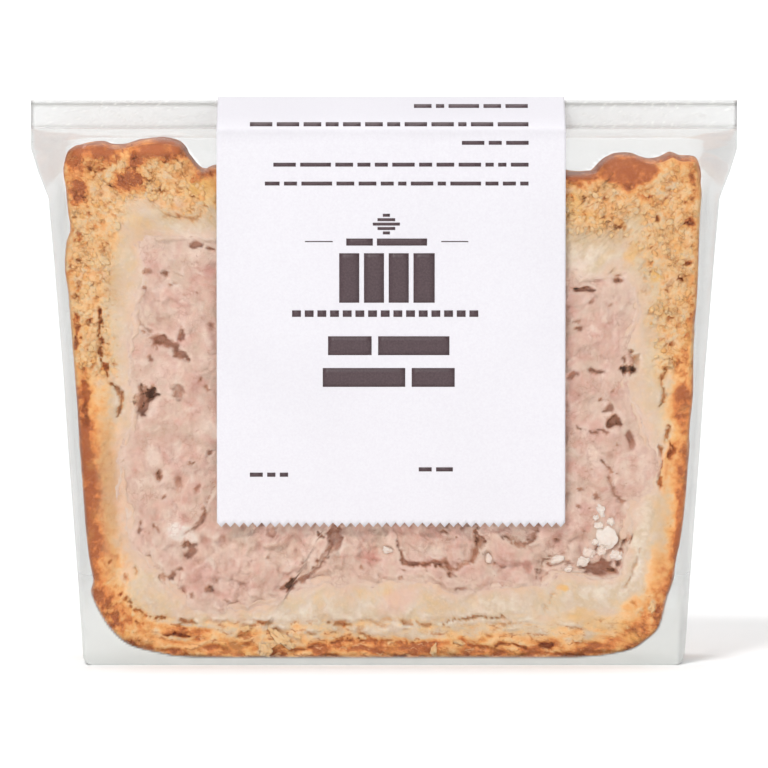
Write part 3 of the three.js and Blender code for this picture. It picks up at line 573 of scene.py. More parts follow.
CRUST_CURVE = respaced(closed_curve(CRUST_KNOTS), lambda middle: np.where(under_label(middle), 0.9, 0.3))
MEAT_CURVE = closed_curve(MEAT_KNOTS)


# Meshes

def make_object(name, points, faces, attributes=(), smooth=True):
    """A mesh object from points in millimetres. attributes is a list of (name, a number for each point)."""
    mesh = bpy.data.meshes.new(name)
    mesh.from_pydata(np.asarray(points, dtype=float) * MM, [], faces)
    for key, values in attributes:
        layer = mesh.attributes.new(key, "FLOAT", "POINT")
        layer.data.foreach_set("value", np.asarray(values, dtype=np.float32).ravel())
    mesh.polygons.foreach_set("use_smooth", np.full(len(mesh.polygons), smooth))
    mesh.update()
    piece = bpy.data.objects.new(name, mesh)
    bpy.context.collection.objects.link(piece)
    return piece


def grid_faces(rows, columns, wrap_rows=False, wrap_columns=False, start=0):
    """Four-sided faces of a grid of points stored row by row."""
    row = np.arange(rows if wrap_rows else rows - 1)[:, None]
    column = np.arange(columns if wrap_columns else columns - 1)[None, :]
    next_row = (row + 1) % rows
    next_column = (column + 1) % columns
    corners = [
        row * columns + column, row * columns + next_column,
        next_row * columns + next_column, next_row * columns + column,
    ]
    return np.stack([corner.ravel() for corner in corners], axis=-1) + start


def flipped(faces):
    return faces[:, ::-1]


# The pastry

# How far in from the skin the crust is baked, by height: left side, right side
REACH_HEIGHTS = [0, 10, 20, 40, 50, 62, 75, 82, 90]
REACH_LEFT = [6.5, 7.0, 8.4, 8.0, 7.6, 7.8, 9.0, 12.0, 13.0]
REACH_RIGHT = [6.0, 5.0, 3.6, 5.0, 6.6, 9.0, 14.0, 16.0, 16.0]
BASE_REACH = 6.6
CRUST_OVERLAP = 2.6
SKIN_RADIUS = 0.9
RIM_RADIUS = 2.6
CRIMP_PITCH = 8.5
CRIMP_SLANT = 0.2
CRIMP_DEPTH = 0.9
# Rows of the pastry's grid: across the front cut, each rounded edge, the skin and the back cut
PASTRY_STEPS = (38, 5, 18, 28)


def crust_zones(points, edge):
    """How baked, how crumbly and how flaky the pastry is, from its place and its distance from the skin."""
    x, z = points[..., 0], points[..., 1]
    to_right = smoothstep(-8, 8, x)
    sides = np.interp(z, REACH_HEIGHTS, REACH_LEFT) * (1 - to_right)
    sides = sides + np.interp(z, REACH_HEIGHTS, REACH_RIGHT) * to_right
    on_base = (1 - smoothstep(7, 13, z)) * (1 - smoothstep(34, 46, np.abs(x)))
    reach = sides * (1 - on_base) + BASE_REACH * on_base
    share = edge / reach
    bake = 1 - smoothstep(0.05, 1.15, share + 0.16 * noise(points, 3.2, 61) + 0.1 * noise(points, 1.1, 62))
    corner_low = (1 - smoothstep(8, 16, z)) * smoothstep(37, 43, np.abs(x))
    high = smoothstep(44, 52, z) * smoothstep(26, 33, np.abs(x))
    crumbly = np.clip(np.maximum(high, corner_low), 0, 1) * (1 - smoothstep(0.7, 1.25, share))
    crumbly = np.maximum(crumbly, 0.45 * (1 - smoothstep(0.5, 1.1, share))) * (1 - 0.45 * on_base)
    flaky = on_base * (1 - smoothstep(6.6, 9.4, z))
    return bake, crumbly, flaky


def meat_edge_wobble(points, side):
    """How far the meat's edge strays outwards from its outline."""
    broad = 0.9 * noise(points, 4.5, 71 + side) + 0.55 * noise(points, 1.6, 73 + side)
    return broad + 0.2 * noise(points, 0.7, 75)


def meat_edge_height(points, side):
    return 0.35 * noise(points, 5.0, 77 + side) + 0.15 * noise(points, 1.5, 79 + side) - 0.15


def torn_sheet(points, rise):
    """Places stretched along the base, for flakes that lie flat."""
    return np.stack([points[..., 0] / 4.5, rise / 1.8], axis=-1)


def crust_face(points, edge, past_meat, side):
    """Height, colour marks and painted shade of the pastry's cut face. side is 0 for the front and 1 for the
    back.
    """
    seed = 100 + 400 * side
    ragged = warped(points, seed)
    bake, crumbly, flaky = crust_zones(ragged, edge)
    lobe = spots(warped(points, seed + 90, 0.3, 0.15), [(*place, 1.0) for *place, _ in CRUST_LOBES], 0.16)
    bulge = spots(points, CRUST_LOBES, 0.5)
    crumbly = crumbly * (1 - 0.9 * lobe)

    past_meat = past_meat - meat_edge_wobble(points, side)
    torn = warped(points, seed + 20, 0.6, 0.4)
    near, second, token = grains(torn, 2.1, seed + 10)
    fine_near, fine_second, fine_token = grains(torn, 0.95, seed + 21)
    coarse = 0.9 * lumps(torn, 2.3, seed + 10, 22.0) + 0.3 * (0.5 - near)
    fine = 1.0 * lumps(warped(points, seed + 26, 0.35, 0.3), 1.1, seed + 22, 26.0) + 0.2 * (0.5 - fine_near)
    broken = smoothstep(-0.1, 0.5, noise(points, 2.6, seed + 12))
    gaps = smoothstep(0.2, 0.0, second - near) * broken
    fine_gaps = smoothstep(0.22, 0.02, fine_second - fine_near)
    fine_gaps = fine_gaps * smoothstep(0.0, 0.5, noise(points, 1.5, seed + 13))
    rolling = 0.34 * noise(points, 6.5, seed + 30) + 0.16 * noise(points, 2.6, seed + 31)
    grit = 0.16 * noise(points, 0.9, seed + 32)
    relief = 0.55 * coarse + 0.45 * fine + grit - 0.3 * gaps - 0.12 * fine_gaps
    scraps = 0.22 * torn_layers(warped(points, seed + 33, 0.5, 0.35), 2.0, seed + 34)
    scraps = scraps * (1 - crumbly) * (1 - lobe)
    height = rolling + crumbly * relief + scraps - 0.1 + bulge
    height += 0.3 * lobe * smoothstep(78, 82, points[..., 1])

    rise = points[..., 1] + 0.9 * noise(points, 6.0, seed + 40) + 0.3 * noise(points, 1.8, seed + 43)
    sheet = np.stack([ragged[..., 0] / 3.4, rise / 1.05], axis=-1)
    plates = np.clip(1.6 * noise(sheet, 1.0, seed + 41), -1, 1)
    splits = 1 - smoothstep(0.02, 0.2, np.abs(noise(sheet, 1.0, seed + 42)))
    splits = splits * smoothstep(-0.1, 0.35, noise(points, 3.0, seed + 44))
    layers = torn_layers(torn_sheet(ragged, rise), 1.0, seed + 45)
    height += flaky * (0.3 * plates + 0.25 * layers - 0.4 * splits)

    hollow, dark = pits(ragged, CRUST_PITS, seed + 54)
    crack, crack_dark = grooves(warped(points, seed + 50, 0.35, 0.3), CRUST_CRACKS, seed + 56)
    height -= np.maximum(hollow, crack)

    speck = noise(points, 1.15, seed + 60) + 0.6 * noise(points, 0.5, seed + 61)
    holes = smoothstep(0.55, 0.95, speck) * (0.08 + 0.92 * crumbly)
    height -= holes * 0.5

    browned = spots(ragged, CRUST_DARK, 0.55)
    pale = spots(ragged, CRUST_PALE, 0.45)
    blotch = 0.3 * noise(points, 2.6, seed + 70) + 0.14 * noise(points, 1.1, seed + 71)
    blotch += 0.12 * (token - 0.5) * crumbly + 0.1 * (fine_token - 0.5)
    bake = 0.66 * bake + blotch * (0.25 + 0.5 * bake)
    bake = bake * (1 - 0.45 * crumbly * smoothstep(44, 52, points[..., 1]))
    bake = bake + (1.02 - bake) * browned
    bake = bake * (1 - 0.85 * pale)
    bake = bake + (0.85 + 0.35 * blotch - bake) * lobe * (1 - browned)
    # Painted shade: the dips of the crumb and of the flakes are baked darker and their tops paler
    bake = bake + crumbly * (0.2 * (0.08 - relief)) + flaky * (0.06 - 0.12 * plates)
    wider = 1 + 0.5 * smoothstep(64, 72, points[..., 1])
    least = crumbly * (0.35 - 0.08 * relief) * smoothstep(8.5, 5.0, edge / wider)
    bake = np.maximum(bake, least)
    bake = bake + 0.12 * (1 - pale) * (1 - flaky)
    # Painted shade in the gaps between the crumb's grains; the splits between flakes and the small holes are
    # darkened partly as painted shade too
    deep = crumbly * np.maximum(0.4 * gaps, 0.2 * fine_gaps) * smoothstep(0.2, 0.5, bake)
    dark = np.maximum(np.maximum(dark, crack_dark), deep)
    dark = np.maximum(dark, np.maximum(flaky * 0.5 * splits, holes * 0.6))
    meat_hollow, meat_dark = pits(warped(points, 1000 + 400 * side), MEAT_PITS, 1054 + 400 * side)
    at_hollow = smoothstep(2.6, 1.2, past_meat)
    height -= 1.5 * meat_hollow * at_hollow
    dark = np.maximum(dark, meat_dark * at_hollow)
    yellowed = 0.3 * smoothstep(0.25, 0.9, noise(points, 3.0, seed + 80))
    yellow = np.maximum(spots(ragged, CRUST_YELLOW, 0.4), yellowed)
    plain = 0.35 * smoothstep(0.2, 0.8, noise(points, 3.6, seed + 81)) * smoothstep(0.6, 0.35, bake)
    rosy = np.maximum(spots(ragged, CRUST_ROSY, 0.5), plain)
    tan = spots(ragged, CRUST_TAN, 0.6)

    rosy = np.maximum(rosy, 0.75 * smoothstep(3.0, -0.6, past_meat + 1.2 * noise(points, 2.0, seed + 82)))
    at_meat = smoothstep(1.1, 0.1, np.abs(past_meat))
    meat_edge = meat_edge_height(points, side) - 1.5 * meat_hollow
    height = height * (1 - at_meat) + meat_edge * at_meat
    height = soft_limit(height, PROUD_LIMIT) - 2.6 * smoothstep(-0.9, -2.0, past_meat)
    return height, bake, dark, yellow, rosy, crumbly, flaky, tan


def skin_push(points, depth):
    """How far the baked skin stands in or out, with crimps across the rims."""
    place = np.stack([points[..., 0], points[..., 1], depth], axis=-1)
    inwards = smoothstep(0, 3.2, CUT_DEPTH - np.abs(depth))
    waves = 0.28 * noise(place, 7.0, 91) + 0.12 * noise(place, 2.2, 92) + 0.05 * noise(place, 0.9, 93)
    at_rim = smoothstep(80, 85, points[..., 1]) * smoothstep(32, 37, np.abs(points[..., 0]))
    turn = (depth + points[..., 0] * CRIMP_SLANT) / CRIMP_PITCH * 2 * math.pi
    crimp = CRIMP_DEPTH * (0.5 + 0.5 * np.sin(turn))
    return inwards * (waves - at_rim * crimp)


def build_pastry():
    """The ring of crust round the meat: front face, skin, back face and inner wall in one closed grid."""
    outer = CRUST_CURVE
    count = len(outer)
    normal = outward_normals(outer)
    for _ in range(3):
        normal = normal + np.roll(normal, 1, axis=0) + np.roll(normal, -1, axis=0)
        normal /= np.linalg.norm(normal, axis=1, keepdims=True)
    turn = np.unwrap(angles_about_centre(outer))
    spread = 13
    padded = np.concatenate([turn[-spread:] - 2 * math.pi, turn, turn[:spread] + 2 * math.pi])
    if turn[-1] < turn[0]:
        padded = np.concatenate([turn[-spread:] + 2 * math.pi, turn, turn[:spread] - 2 * math.pi])
    turn = np.convolve(padded, np.ones(2 * spread + 1) / (2 * spread + 1), mode="valid")
    heading = np.stack([np.cos(turn), np.sin(turn)], axis=-1)
    inner = PIE_CENTRE + heading * (reach_in_direction(MEAT_CURVE, turn) - CRUST_OVERLAP)[:, None]
    at_rim = smoothstep(79, 84, outer[:, 1]) * smoothstep(31, 36, np.abs(outer[:, 0]))
    radius = SKIN_RADIUS + (RIM_RADIUS - SKIN_RADIUS) * at_rim
    for _ in range(6):
        radius = (radius + np.roll(radius, 1) + np.roll(radius, -1)) / 3
    shoulder = outer - normal * radius[:, None]

    places, depths, proud, pushes = [], [], [], []
    face_steps, round_steps, skin_steps, back_steps = PASTRY_STEPS

    def face(steps, sign):
        for step in (range(steps) if sign < 0 else range(steps - 1, -1, -1)):
            share = step / steps
            places.append(inner + (shoulder - inner) * share)
            depths.append(np.full(count, sign * CUT_DEPTH))
            proud.append(1.0)
            pushes.append(0.0)

    def rounding(sign):
        angles = np.linspace(0, math.pi / 2, round_steps + 1)
        for angle in (angles if sign < 0 else angles[::-1]):
            places.append(shoulder + normal * (radius * math.sin(angle))[:, None])
            depths.append(sign * (CUT_DEPTH - radius * (1 - math.cos(angle))))
            proud.append(math.cos(angle))
            pushes.append(math.sin(angle))

    face(face_steps, -1)
    rounding(-1)
    for step in range(1, skin_steps):
        share = step / skin_steps
        places.append(outer)
        depths.append((CUT_DEPTH - radius) * (2 * share - 1))
        proud.append(0.0)
        pushes.append(1.0)
    rounding(1)
    face(back_steps, 1)

    places, depths = np.array(places), np.array(depths)
    proud, pushes = np.array(proud)[:, None], np.array(pushes)[:, None]
    edge = nearest_distance(places, outer)
    angles = angles_about_centre(places)
    past_meat = np.linalg.norm(places - PIE_CENTRE, axis=-1) - reach_in_direction(MEAT_CURVE, angles)
    front = depths < 0
    fields = [
        np.where(front, ahead, behind)
        for ahead, behind in zip(*(crust_face(places, edge, past_meat, side) for side in (0, 1)))
    ]
    height, bake, dark, yellow, rosy, crumbly, flaky, tan = fields
    # cavity_shade: how far each point lies below the blurred height round it, used for painted shade in hollows
    # and painted light on high points
    cavity_shade = np.clip(blurred(height, 3) - height, -1, 1) * (past_meat > -0.5)

    pushed = places + normal[None, :, :] * (skin_push(places, depths) * pushes)[..., None]
    depth = depths + np.sign(depths) * height * proud
    on_skin = (1 - proud) * np.ones_like(depths)
    space = np.stack([places[..., 0], places[..., 1], depths], axis=-1)
    skin_bake = 0.78 + 0.22 * layered_noise(space, 6.0, 95) + 0.12 * noise(space, 1.4, 96)
    skin_bake += 0.15 * smoothstep(80, 88, places[..., 1]) - 0.2 * smoothstep(14, 4, places[..., 1])
    bake = bake * (1 - on_skin) + skin_bake * on_skin
    dark = dark * (1 - on_skin)
    cavity_shade = cavity_shade * (1 - on_skin)
    points = np.stack([pushed[..., 0], depth, pushed[..., 1]], axis=-1).reshape(-1, 3)
    faces = grid_faces(len(places), count, wrap_rows=True, wrap_columns=True)
    return make_object("pastry_crust", points, faces, [
        ("bake", bake), ("dark", dark), ("yellow", yellow * (1 - on_skin)), ("rosy", rosy * (1 - on_skin)),
        ("crumbly", crumbly), ("cavity_shade", cavity_shade), ("flaky", flaky), ("tan", tan * (1 - on_skin)),
    ])


# The meat

def meat_face(points, inside, side):
    """Height, colour marks and painted shade of the meat's cut face. inside is the distance within its outline.
    """
    seed = 1000 + 400 * side
    ragged = warped(points, seed)
    inside = inside + meat_edge_wobble(points, side)
    bent = points + np.stack([
        1.6 * noise(points, 5.0, seed + axis) + 0.7 * noise(points, 1.8, seed + 3 + axis)
        for axis in (0, 1)
    ], axis=-1)
    near, second, token = grains(bent * np.array([1.0, 1.2]), 5.0, seed + 10)
    chunks = lumps(bent * np.array([1.0, 1.2]), 5.0, seed + 10, 40.0)
    scraps = lumps(warped(bent, seed + 6, 0.6, 0.35), 2.2, seed + 20, 26.0)
    rough = 0.5 * smoothstep(-0.1, 0.5, noise(points, 7.0, seed + 36))
    rough = np.clip(smoothstep(28, 20, points[..., 1]) + rough, 0, 1)
    height = (0.5 + 0.5 * rough) * chunks + (0.22 + 0.3 * rough) * scraps
    height += (0.25 + 0.5 * rough) * torn_layers(bent, 4.5, seed + 37)
    height += (0.1 + 0.25 * rough) * torn_layers(warped(points, seed + 38, 0.5, 0.3), 2.2, seed + 39)
    height += 0.2 * noise(points, 2.6, seed + 30) + 0.07 * noise(points, 0.7, seed + 32) - 0.05
    seam = smoothstep(0.1, 0.0, second - near)
    tear = seam * smoothstep(0.2, 0.7, noise(points, 4.0, seed + 33))
    height -= 0.4 * tear
    specks = smoothstep(0.85, 1.05, noise(points, 1.3, seed + 34) + 0.5 * noise(points, 0.5, seed + 35))
    height -= 0.5 * specks

    hollow, dark = pits(ragged, MEAT_PITS, seed + 54)
    groove, groove_dark = grooves(warped(points, seed + 50, 0.5, 0.3), MEAT_GROOVES, seed + 56)
    plate, foot = ledges(warped(points, seed + 51, 0.5, 0.4), MEAT_LEDGES)
    bulge = 0.6 * spots(ragged, [mark for mark in MEAT_FAT if mark[-1] > 1], 0.5)
    height = soft_limit(height + 1.2 * plate + bulge - 0.15, PROUD_LIMIT)
    height -= np.maximum(np.maximum(hollow, groove), 0.7 * foot)
    dark = np.maximum(np.maximum(dark, groove_dark), np.maximum(0.2 * tear, 0.5 * specks))
    # Painted shadow at the foot of each raised plate
    dark = np.maximum(dark, 0.62 * foot)
    for x, z, half_width, half_height, turn in FAT_LUMPS:
        seat = spot(points, x, z, half_width * 1.25, half_height * 1.25, turn, 0.3)
        height = height * (1 - seat) + np.minimum(height, -0.35) * seat

    fat = spots(ragged, MEAT_FAT, 0.6)
    fat = np.maximum(fat, 0.8 * smoothstep(0.1, 0.8, layered_noise(bent, 3.0, seed + 60)))
    rosy = 0.5 * smoothstep(0.2, 0.85, layered_noise(bent, 2.4, seed + 61))
    red = np.maximum(spots(ragged, MEAT_RED, 0.6), rosy)
    dry = 0.45 * smoothstep(0.15, 0.8, layered_noise(points, 4.0, seed + 62))
    grey = np.maximum(spots(ragged, MEAT_GREY, 0.6), dry)
    lean = 0.5 + 0.5 * (token - 0.5) + 0.45 * noise(bent, 2.6, seed + 63) + 0.2 * scraps
    strayed = inside + 1.3 * noise(points, 3.0, seed + 64) + 0.5 * noise(points, 1.0, seed + 65)
    dough = smoothstep(3.4, -1.2, strayed)
    dough = np.maximum(dough, spots(ragged, MEAT_DOUGHY, 0.8))
    at_edge = smoothstep(1.1, 0.1, np.abs(inside))
    height = height * (1 - at_edge) + (meat_edge_height(points, side) + 0.03) * at_edge
    height -= 2.4 * smoothstep(0.0, -2.6, inside)
    return height, dark, fat, red, grey, np.clip(lean, 0, 1), dough


MEAT_OVERLAP = 2.0


def build_filling():
    """The block of meat: both cut faces as rings of points about the middle, closed round the edge."""
    spaced = respaced(CRUST_CURVE, lambda middle: np.where(under_label(middle), 1.4, 0.45))
    turn = np.sort(angles_about_centre(spaced))
    keep = np.concatenate([[True], np.diff(turn) > 1e-4])
    turn = turn[keep]
    heading = np.stack([np.cos(turn), np.sin(turn)], axis=-1)
    reach = reach_in_direction(MEAT_CURVE, turn) + MEAT_OVERLAP
    visible = np.linspace(1.0, 0.56, 56)
    hidden = np.linspace(0.54, 0.02, 7)
    shares = np.concatenate([visible, hidden])
    back_shares = np.concatenate([np.linspace(1.0, 0.56, 44), hidden])

    def face(shares, side):
        places = PIE_CENTRE + heading[None, :, :] * (reach[None, :] * shares[:, None])[..., None]
        inside = reach[None, :] - MEAT_OVERLAP - np.linalg.norm(places - PIE_CENTRE, axis=-1)
        return places, meat_face(places, inside, side)

    front_places, front_fields = face(shares[::-1], 0)
    back_places, back_fields = face(back_shares, 1)
    places = np.concatenate([front_places, back_places])
    height, dark, fat, red, grey, lean, dough = (
        np.concatenate([ahead, behind]) for ahead, behind in zip(front_fields, back_fields)
    )
    share = np.linalg.norm(places - PIE_CENTRE, axis=-1) / reach
    # cavity_shade: as for the pastry, used for painted shade in the meat's hollows and painted light on its
    # high points
    cavity_shade = np.clip(blurred(height, 3) - height, -1, 1) * (share < 0.96)
    sign = np.concatenate([np.full(len(front_places), -1.0), np.full(len(back_places), 1.0)])[:, None]
    depth = sign * (CUT_DEPTH + height)
    points = np.stack([places[..., 0], depth, places[..., 1]], axis=-1)
    rows, columns = places.shape[:2]
    flat = points.reshape(-1, 3)
    middles = np.array([points[0].mean(axis=0), points[-1].mean(axis=0)])
    faces = grid_faces(rows, columns, wrap_columns=True).tolist()
    front_middle, back_middle = rows * columns, rows * columns + 1
    for column in range(columns):
        following = (column + 1) % columns
        faces.append([column, front_middle, following])
        last = (rows - 1) * columns
        faces.append([last + column, last + following, back_middle])
    marks_and_shade = [
        (key, np.concatenate([values.ravel(), np.full(2, values.mean())]))
        for key, values in (
            ("dark", dark), ("fat", fat), ("red", red), ("grey", grey), ("lean", lean), ("dough", dough),
            ("cavity_shade", cavity_shade),
        )
    ]
    return make_object("pork_filling", np.vstack([flat, middles]), faces, marks_and_shade)


# Lumps, crumbs and flakes

def ball(level):
    """Corners and faces of a ball of the given fineness, radius 1."""
    golden = (1 + 5**0.5) / 2
    corners = [
        (-1, golden, 0), (1, golden, 0), (-1, -golden, 0), (1, -golden, 0), (0, -1, golden), (0, 1, golden),
        (0, -1, -golden), (0, 1, -golden), (golden, 0, -1), (golden, 0, 1), (-golden, 0, -1), (-golden, 0, 1),
    ]
    faces = [
        (0, 11, 5), (0, 5, 1), (0, 1, 7), (0, 7, 10), (0, 10, 11), (1, 5, 9), (5, 11, 4), (11, 10, 2),
        (10, 7, 6), (7, 1, 8), (3, 9, 4), (3, 4, 2), (3, 2, 6), (3, 6, 8), (3, 8, 9), (4, 9, 5),
        (2, 4, 11), (6, 2, 10), (8, 6, 7), (9, 8, 1),
    ]
    corners = [Vector(corner).normalized() for corner in corners]
    for _ in range(level):
        halves = {}

        def half(a, b):
            key = (min(a, b), max(a, b))
            if key not in halves:
                halves[key] = len(corners)
                corners.append(((corners[a] + corners[b]) / 2).normalized())
            return halves[key]

        faces = [
            piece
            for a, b, c in faces
            for piece in (
                (a, half(a, b), half(c, a)), (b, half(b, c), half(a, b)), (c, half(c, a), half(b, c)),
                (half(a, b), half(b, c), half(c, a)),
            )
        ]
    return np.array([tuple(corner) for corner in corners]), np.array(faces)


def build_fat():
    """White lumps of fat bedded in the front cut, and the same in the back cut."""
    corners, triangles = ball(4)
    points, faces, tone = [], [], []
    start = 0
    for index, (x, z, half_width, half_height, turn) in enumerate(FAT_LUMPS):
        for sign in (-1, 1):
            seed = 300 + 10 * index + sign
            angle = math.radians(turn)
            swell = 1 + 0.34 * noise(corners, 0.85, seed) + 0.2 * noise(corners, 0.4, seed + 3)
            shape = corners * swell[:, None] * np.array([half_width, 0.8, half_height])
            across = shape[:, 0] * math.cos(angle) - shape[:, 2] * math.sin(angle)
            up = shape[:, 0] * math.sin(angle) + shape[:, 2] * math.cos(angle)
            depth = sign * soft_limit(CUT_DEPTH - 0.55 + shape[:, 1] * sign, CUT_DEPTH + 0.25, 0.1)
            points.append(np.stack([x + across, depth, z + up], axis=-1))
            faces.append(triangles + start)
            tone.append(np.full(len(corners), hashed(np.array([[index, sign]]), 7)[0]))
            start += len(corners)
    return make_object("fat_lumps", np.vstack(points), np.vstack(faces).tolist(), [
        ("tone", np.concatenate(tone)),
    ])


CRUMB_COUNT = 900
# Pale flakes that stand on the crust: x, z, half width, half height, turn
PALE_FLAKES = [
    (-17.9, 4.7, 1.8, 0.75, -38), (-16.2, 3.5, 0.9, 0.5, -20), (-20.5, 2.5, 1.0, 1.15, 12),
    (8.4, 2.4, 0.4, 0.9, -8),
    (45.7, 9.9, 0.45, 0.8, -10), (-23.4, 6.2, 0.9, 0.35, 10), (13.0, 3.8, 0.7, 0.35, -15),
    (33.0, 4.4, 0.8, 0.4, 5),
    (-14.9, 4.9, 0.7, 0.3, -30), (-19.0, 3.3, 0.5, 0.35, 40),
]


def build_crumbs():
    """Loose granules and flakes of crust on both cut faces, denser where the pastry is crumbly."""
    draw = np.random.default_rng(5)
    corners, triangles = ball(1)
    fine_corners, fine_triangles = ball(3)
    points, faces, bakes, darks = [], [], [], []
    start = 0
    low, high = CRUST_CURVE.min(axis=0), CRUST_CURVE.max(axis=0)
    for side, wanted in ((0, CRUMB_COUNT), (1, CRUMB_COUNT // 3)):
        spread = draw.uniform(low, high, size=(wanted * 22, 2))
        angles = angles_about_centre(spread)
        distance = np.linalg.norm(spread - PIE_CENTRE, axis=1)
        past_meat = distance - reach_in_direction(MEAT_CURVE, angles)
        within = reach_in_direction(CRUST_CURVE, angles) - distance
        spread = spread[(past_meat > 0.8) & (within > 0.7)]
        edge = nearest_distance(spread, CRUST_CURVE)
        past_meat = np.full(len(spread), 5.0)
        height, bake, dark, _, _, crumbly, _, _ = crust_face(spread, edge, past_meat, side)
        chance = crumbly**1.5 * smoothstep(0.5, 0.75, crumbly) * smoothstep(0.15, 0.4, bake)
        chance = chance * (0.2 + 0.8 * smoothstep(12, 24, spread[:, 1]))
        hidden = under_label(spread)
        clear = edge > 0.8 + 1.2 * (spread[:, 1] > 80)
        kept = (draw.random(len(spread)) < chance) & (dark < 0.6) & clear & ~hidden
        chosen = np.flatnonzero(kept)[:wanted]
        for place in chosen:
            size = 0.2 + 0.36 * draw.random() ** 2.2
            flat = draw.uniform(0.3, 0.6)
            shape = corners * (1 + 0.3 * draw.standard_normal((len(corners), 1)) * 0.5)
            shape = shape * np.array([size * draw.uniform(0.8, 1.7), size * flat, size])
            angle = draw.uniform(0, 2 * math.pi)
            across = shape[:, 0] * math.cos(angle) - shape[:, 2] * math.sin(angle)
            up = shape[:, 0] * math.sin(angle) + shape[:, 2] * math.cos(angle)
            out = CUT_DEPTH + height[place] + shape[:, 1]
            depth = (1 if side else -1) * np.minimum(out, CUT_DEPTH + PROUD_LIMIT + 0.05)
            points.append(np.stack([spread[place, 0] + across, depth, spread[place, 1] + up], axis=-1))
            faces.append(triangles + start)
            bakes.append(np.full(len(corners), max(bake[place], 0.34) + draw.uniform(-0.08, 0.12)))
            darks.append(np.zeros(len(corners)))
            start += len(corners)
    for index, (x, z, half_width, half_height, turn) in enumerate(PALE_FLAKES):
        swell = 1 + 0.9 * noise(fine_corners, 0.8, 700 + index) + 0.4 * noise(fine_corners, 0.35, 740 + index)
        shape = fine_corners * swell[:, None] * np.array([half_width, 0.35, half_height])
        angle = math.radians(turn)
        across = shape[:, 0] * math.cos(angle) - shape[:, 2] * math.sin(angle)
        up = shape[:, 0] * math.sin(angle) + shape[:, 2] * math.cos(angle)
        depth = -np.minimum(CUT_DEPTH + 0.22 - shape[:, 1], CUT_DEPTH + PROUD_LIMIT)
        points.append(np.stack([x + across, depth, z + up], axis=-1))
        faces.append(fine_triangles + start)
        bakes.append(np.full(len(fine_corners), 0.37))
        darks.append(np.zeros(len(fine_corners)))
        start += len(fine_corners)
    grain = np.ones(sum(len(values) for values in bakes))
    grain[-len(PALE_FLAKES) * len(fine_corners):] = 0.5
    return make_object("crust_crumbs", np.vstack(points), np.vstack(faces).tolist(), [
        ("bake", np.concatenate(bakes)), ("dark", np.concatenate(darks)), ("yellow", np.concatenate(darks)),
        ("rosy", np.concatenate(darks)), ("crumbly", grain), ("cavity_shade", np.concatenate(darks)),
        ("flaky", np.concatenate(darks)), ("tan", np.concatenate(darks)),
    ])


# The bag of clear film

# Height, half width, half depth
BAG_SECTIONS = np.array([
    (0.0, 51.6, 10.22), (0.2, 51.6, FILM_DEPTH), (3.0, 51.8, FILM_DEPTH), (18.8, 52.9, FILM_DEPTH),
    (35.4, 54.1, FILM_DEPTH),
    (48.2, 54.9, FILM_DEPTH), (67.4, 56.4, FILM_DEPTH), (79.2, 57.4, FILM_DEPTH), (83.8, 59.2, FILM_DEPTH),
    (87.6, 60.35, FILM_DEPTH), (89.4, 60.35, 9.4), (90.5, 60.35, 7.2), (91.1, 60.35, SEAL_HALF_THICKNESS),
    (SEAL_TOP, 60.35, SEAL_HALF_THICKNESS),
])
# Radius of the bag's lower corners
CORNER_RADIUS = 2.2
# How cloudy the film is over the pie, beside it, more at its foot, where it stands, and in the seal
CLEAR_HAZE = 0.01
BESIDE_HAZE = 0.14
FOOT_HAZE = 0.78
STRIP_HAZE = 0.93
SEAL_HAZE = 0.4
# Creases of the film: points, half width, height
FILM_CREASES = [
    ([(-43.4, 20.5), (-43.3, 37.5)], 0.35, 0.06), ([(-39.8, 21.0), (-39.9, 36.0)], 0.4, 0.05),
    ([(-57.6, 86.0), (-56.3, 70.0), (-55.2, 50.0)], 0.6, 0.05),
    ([(57.8, 87.0), (56.0, 66.0), (55.0, 45.0)], 0.6, 0.05),
]


# Below this height the flat part of the film is as wide as it is here
FOOT_HEIGHT = 12.0


def eased_out(reach, steps=4):
    """The reach at each row, smoothed and never less than it was."""
    widest = reach.copy()
    for shift in range(-steps, steps + 1):
        widest = np.maximum(widest, np.interp(np.arange(len(reach)) + shift, np.arange(len(reach)), reach))
    return np.array([
        np.interp(np.arange(row - steps, row + steps + 1), np.arange(len(widest)), widest).mean()
        for row in range(len(widest))
    ])


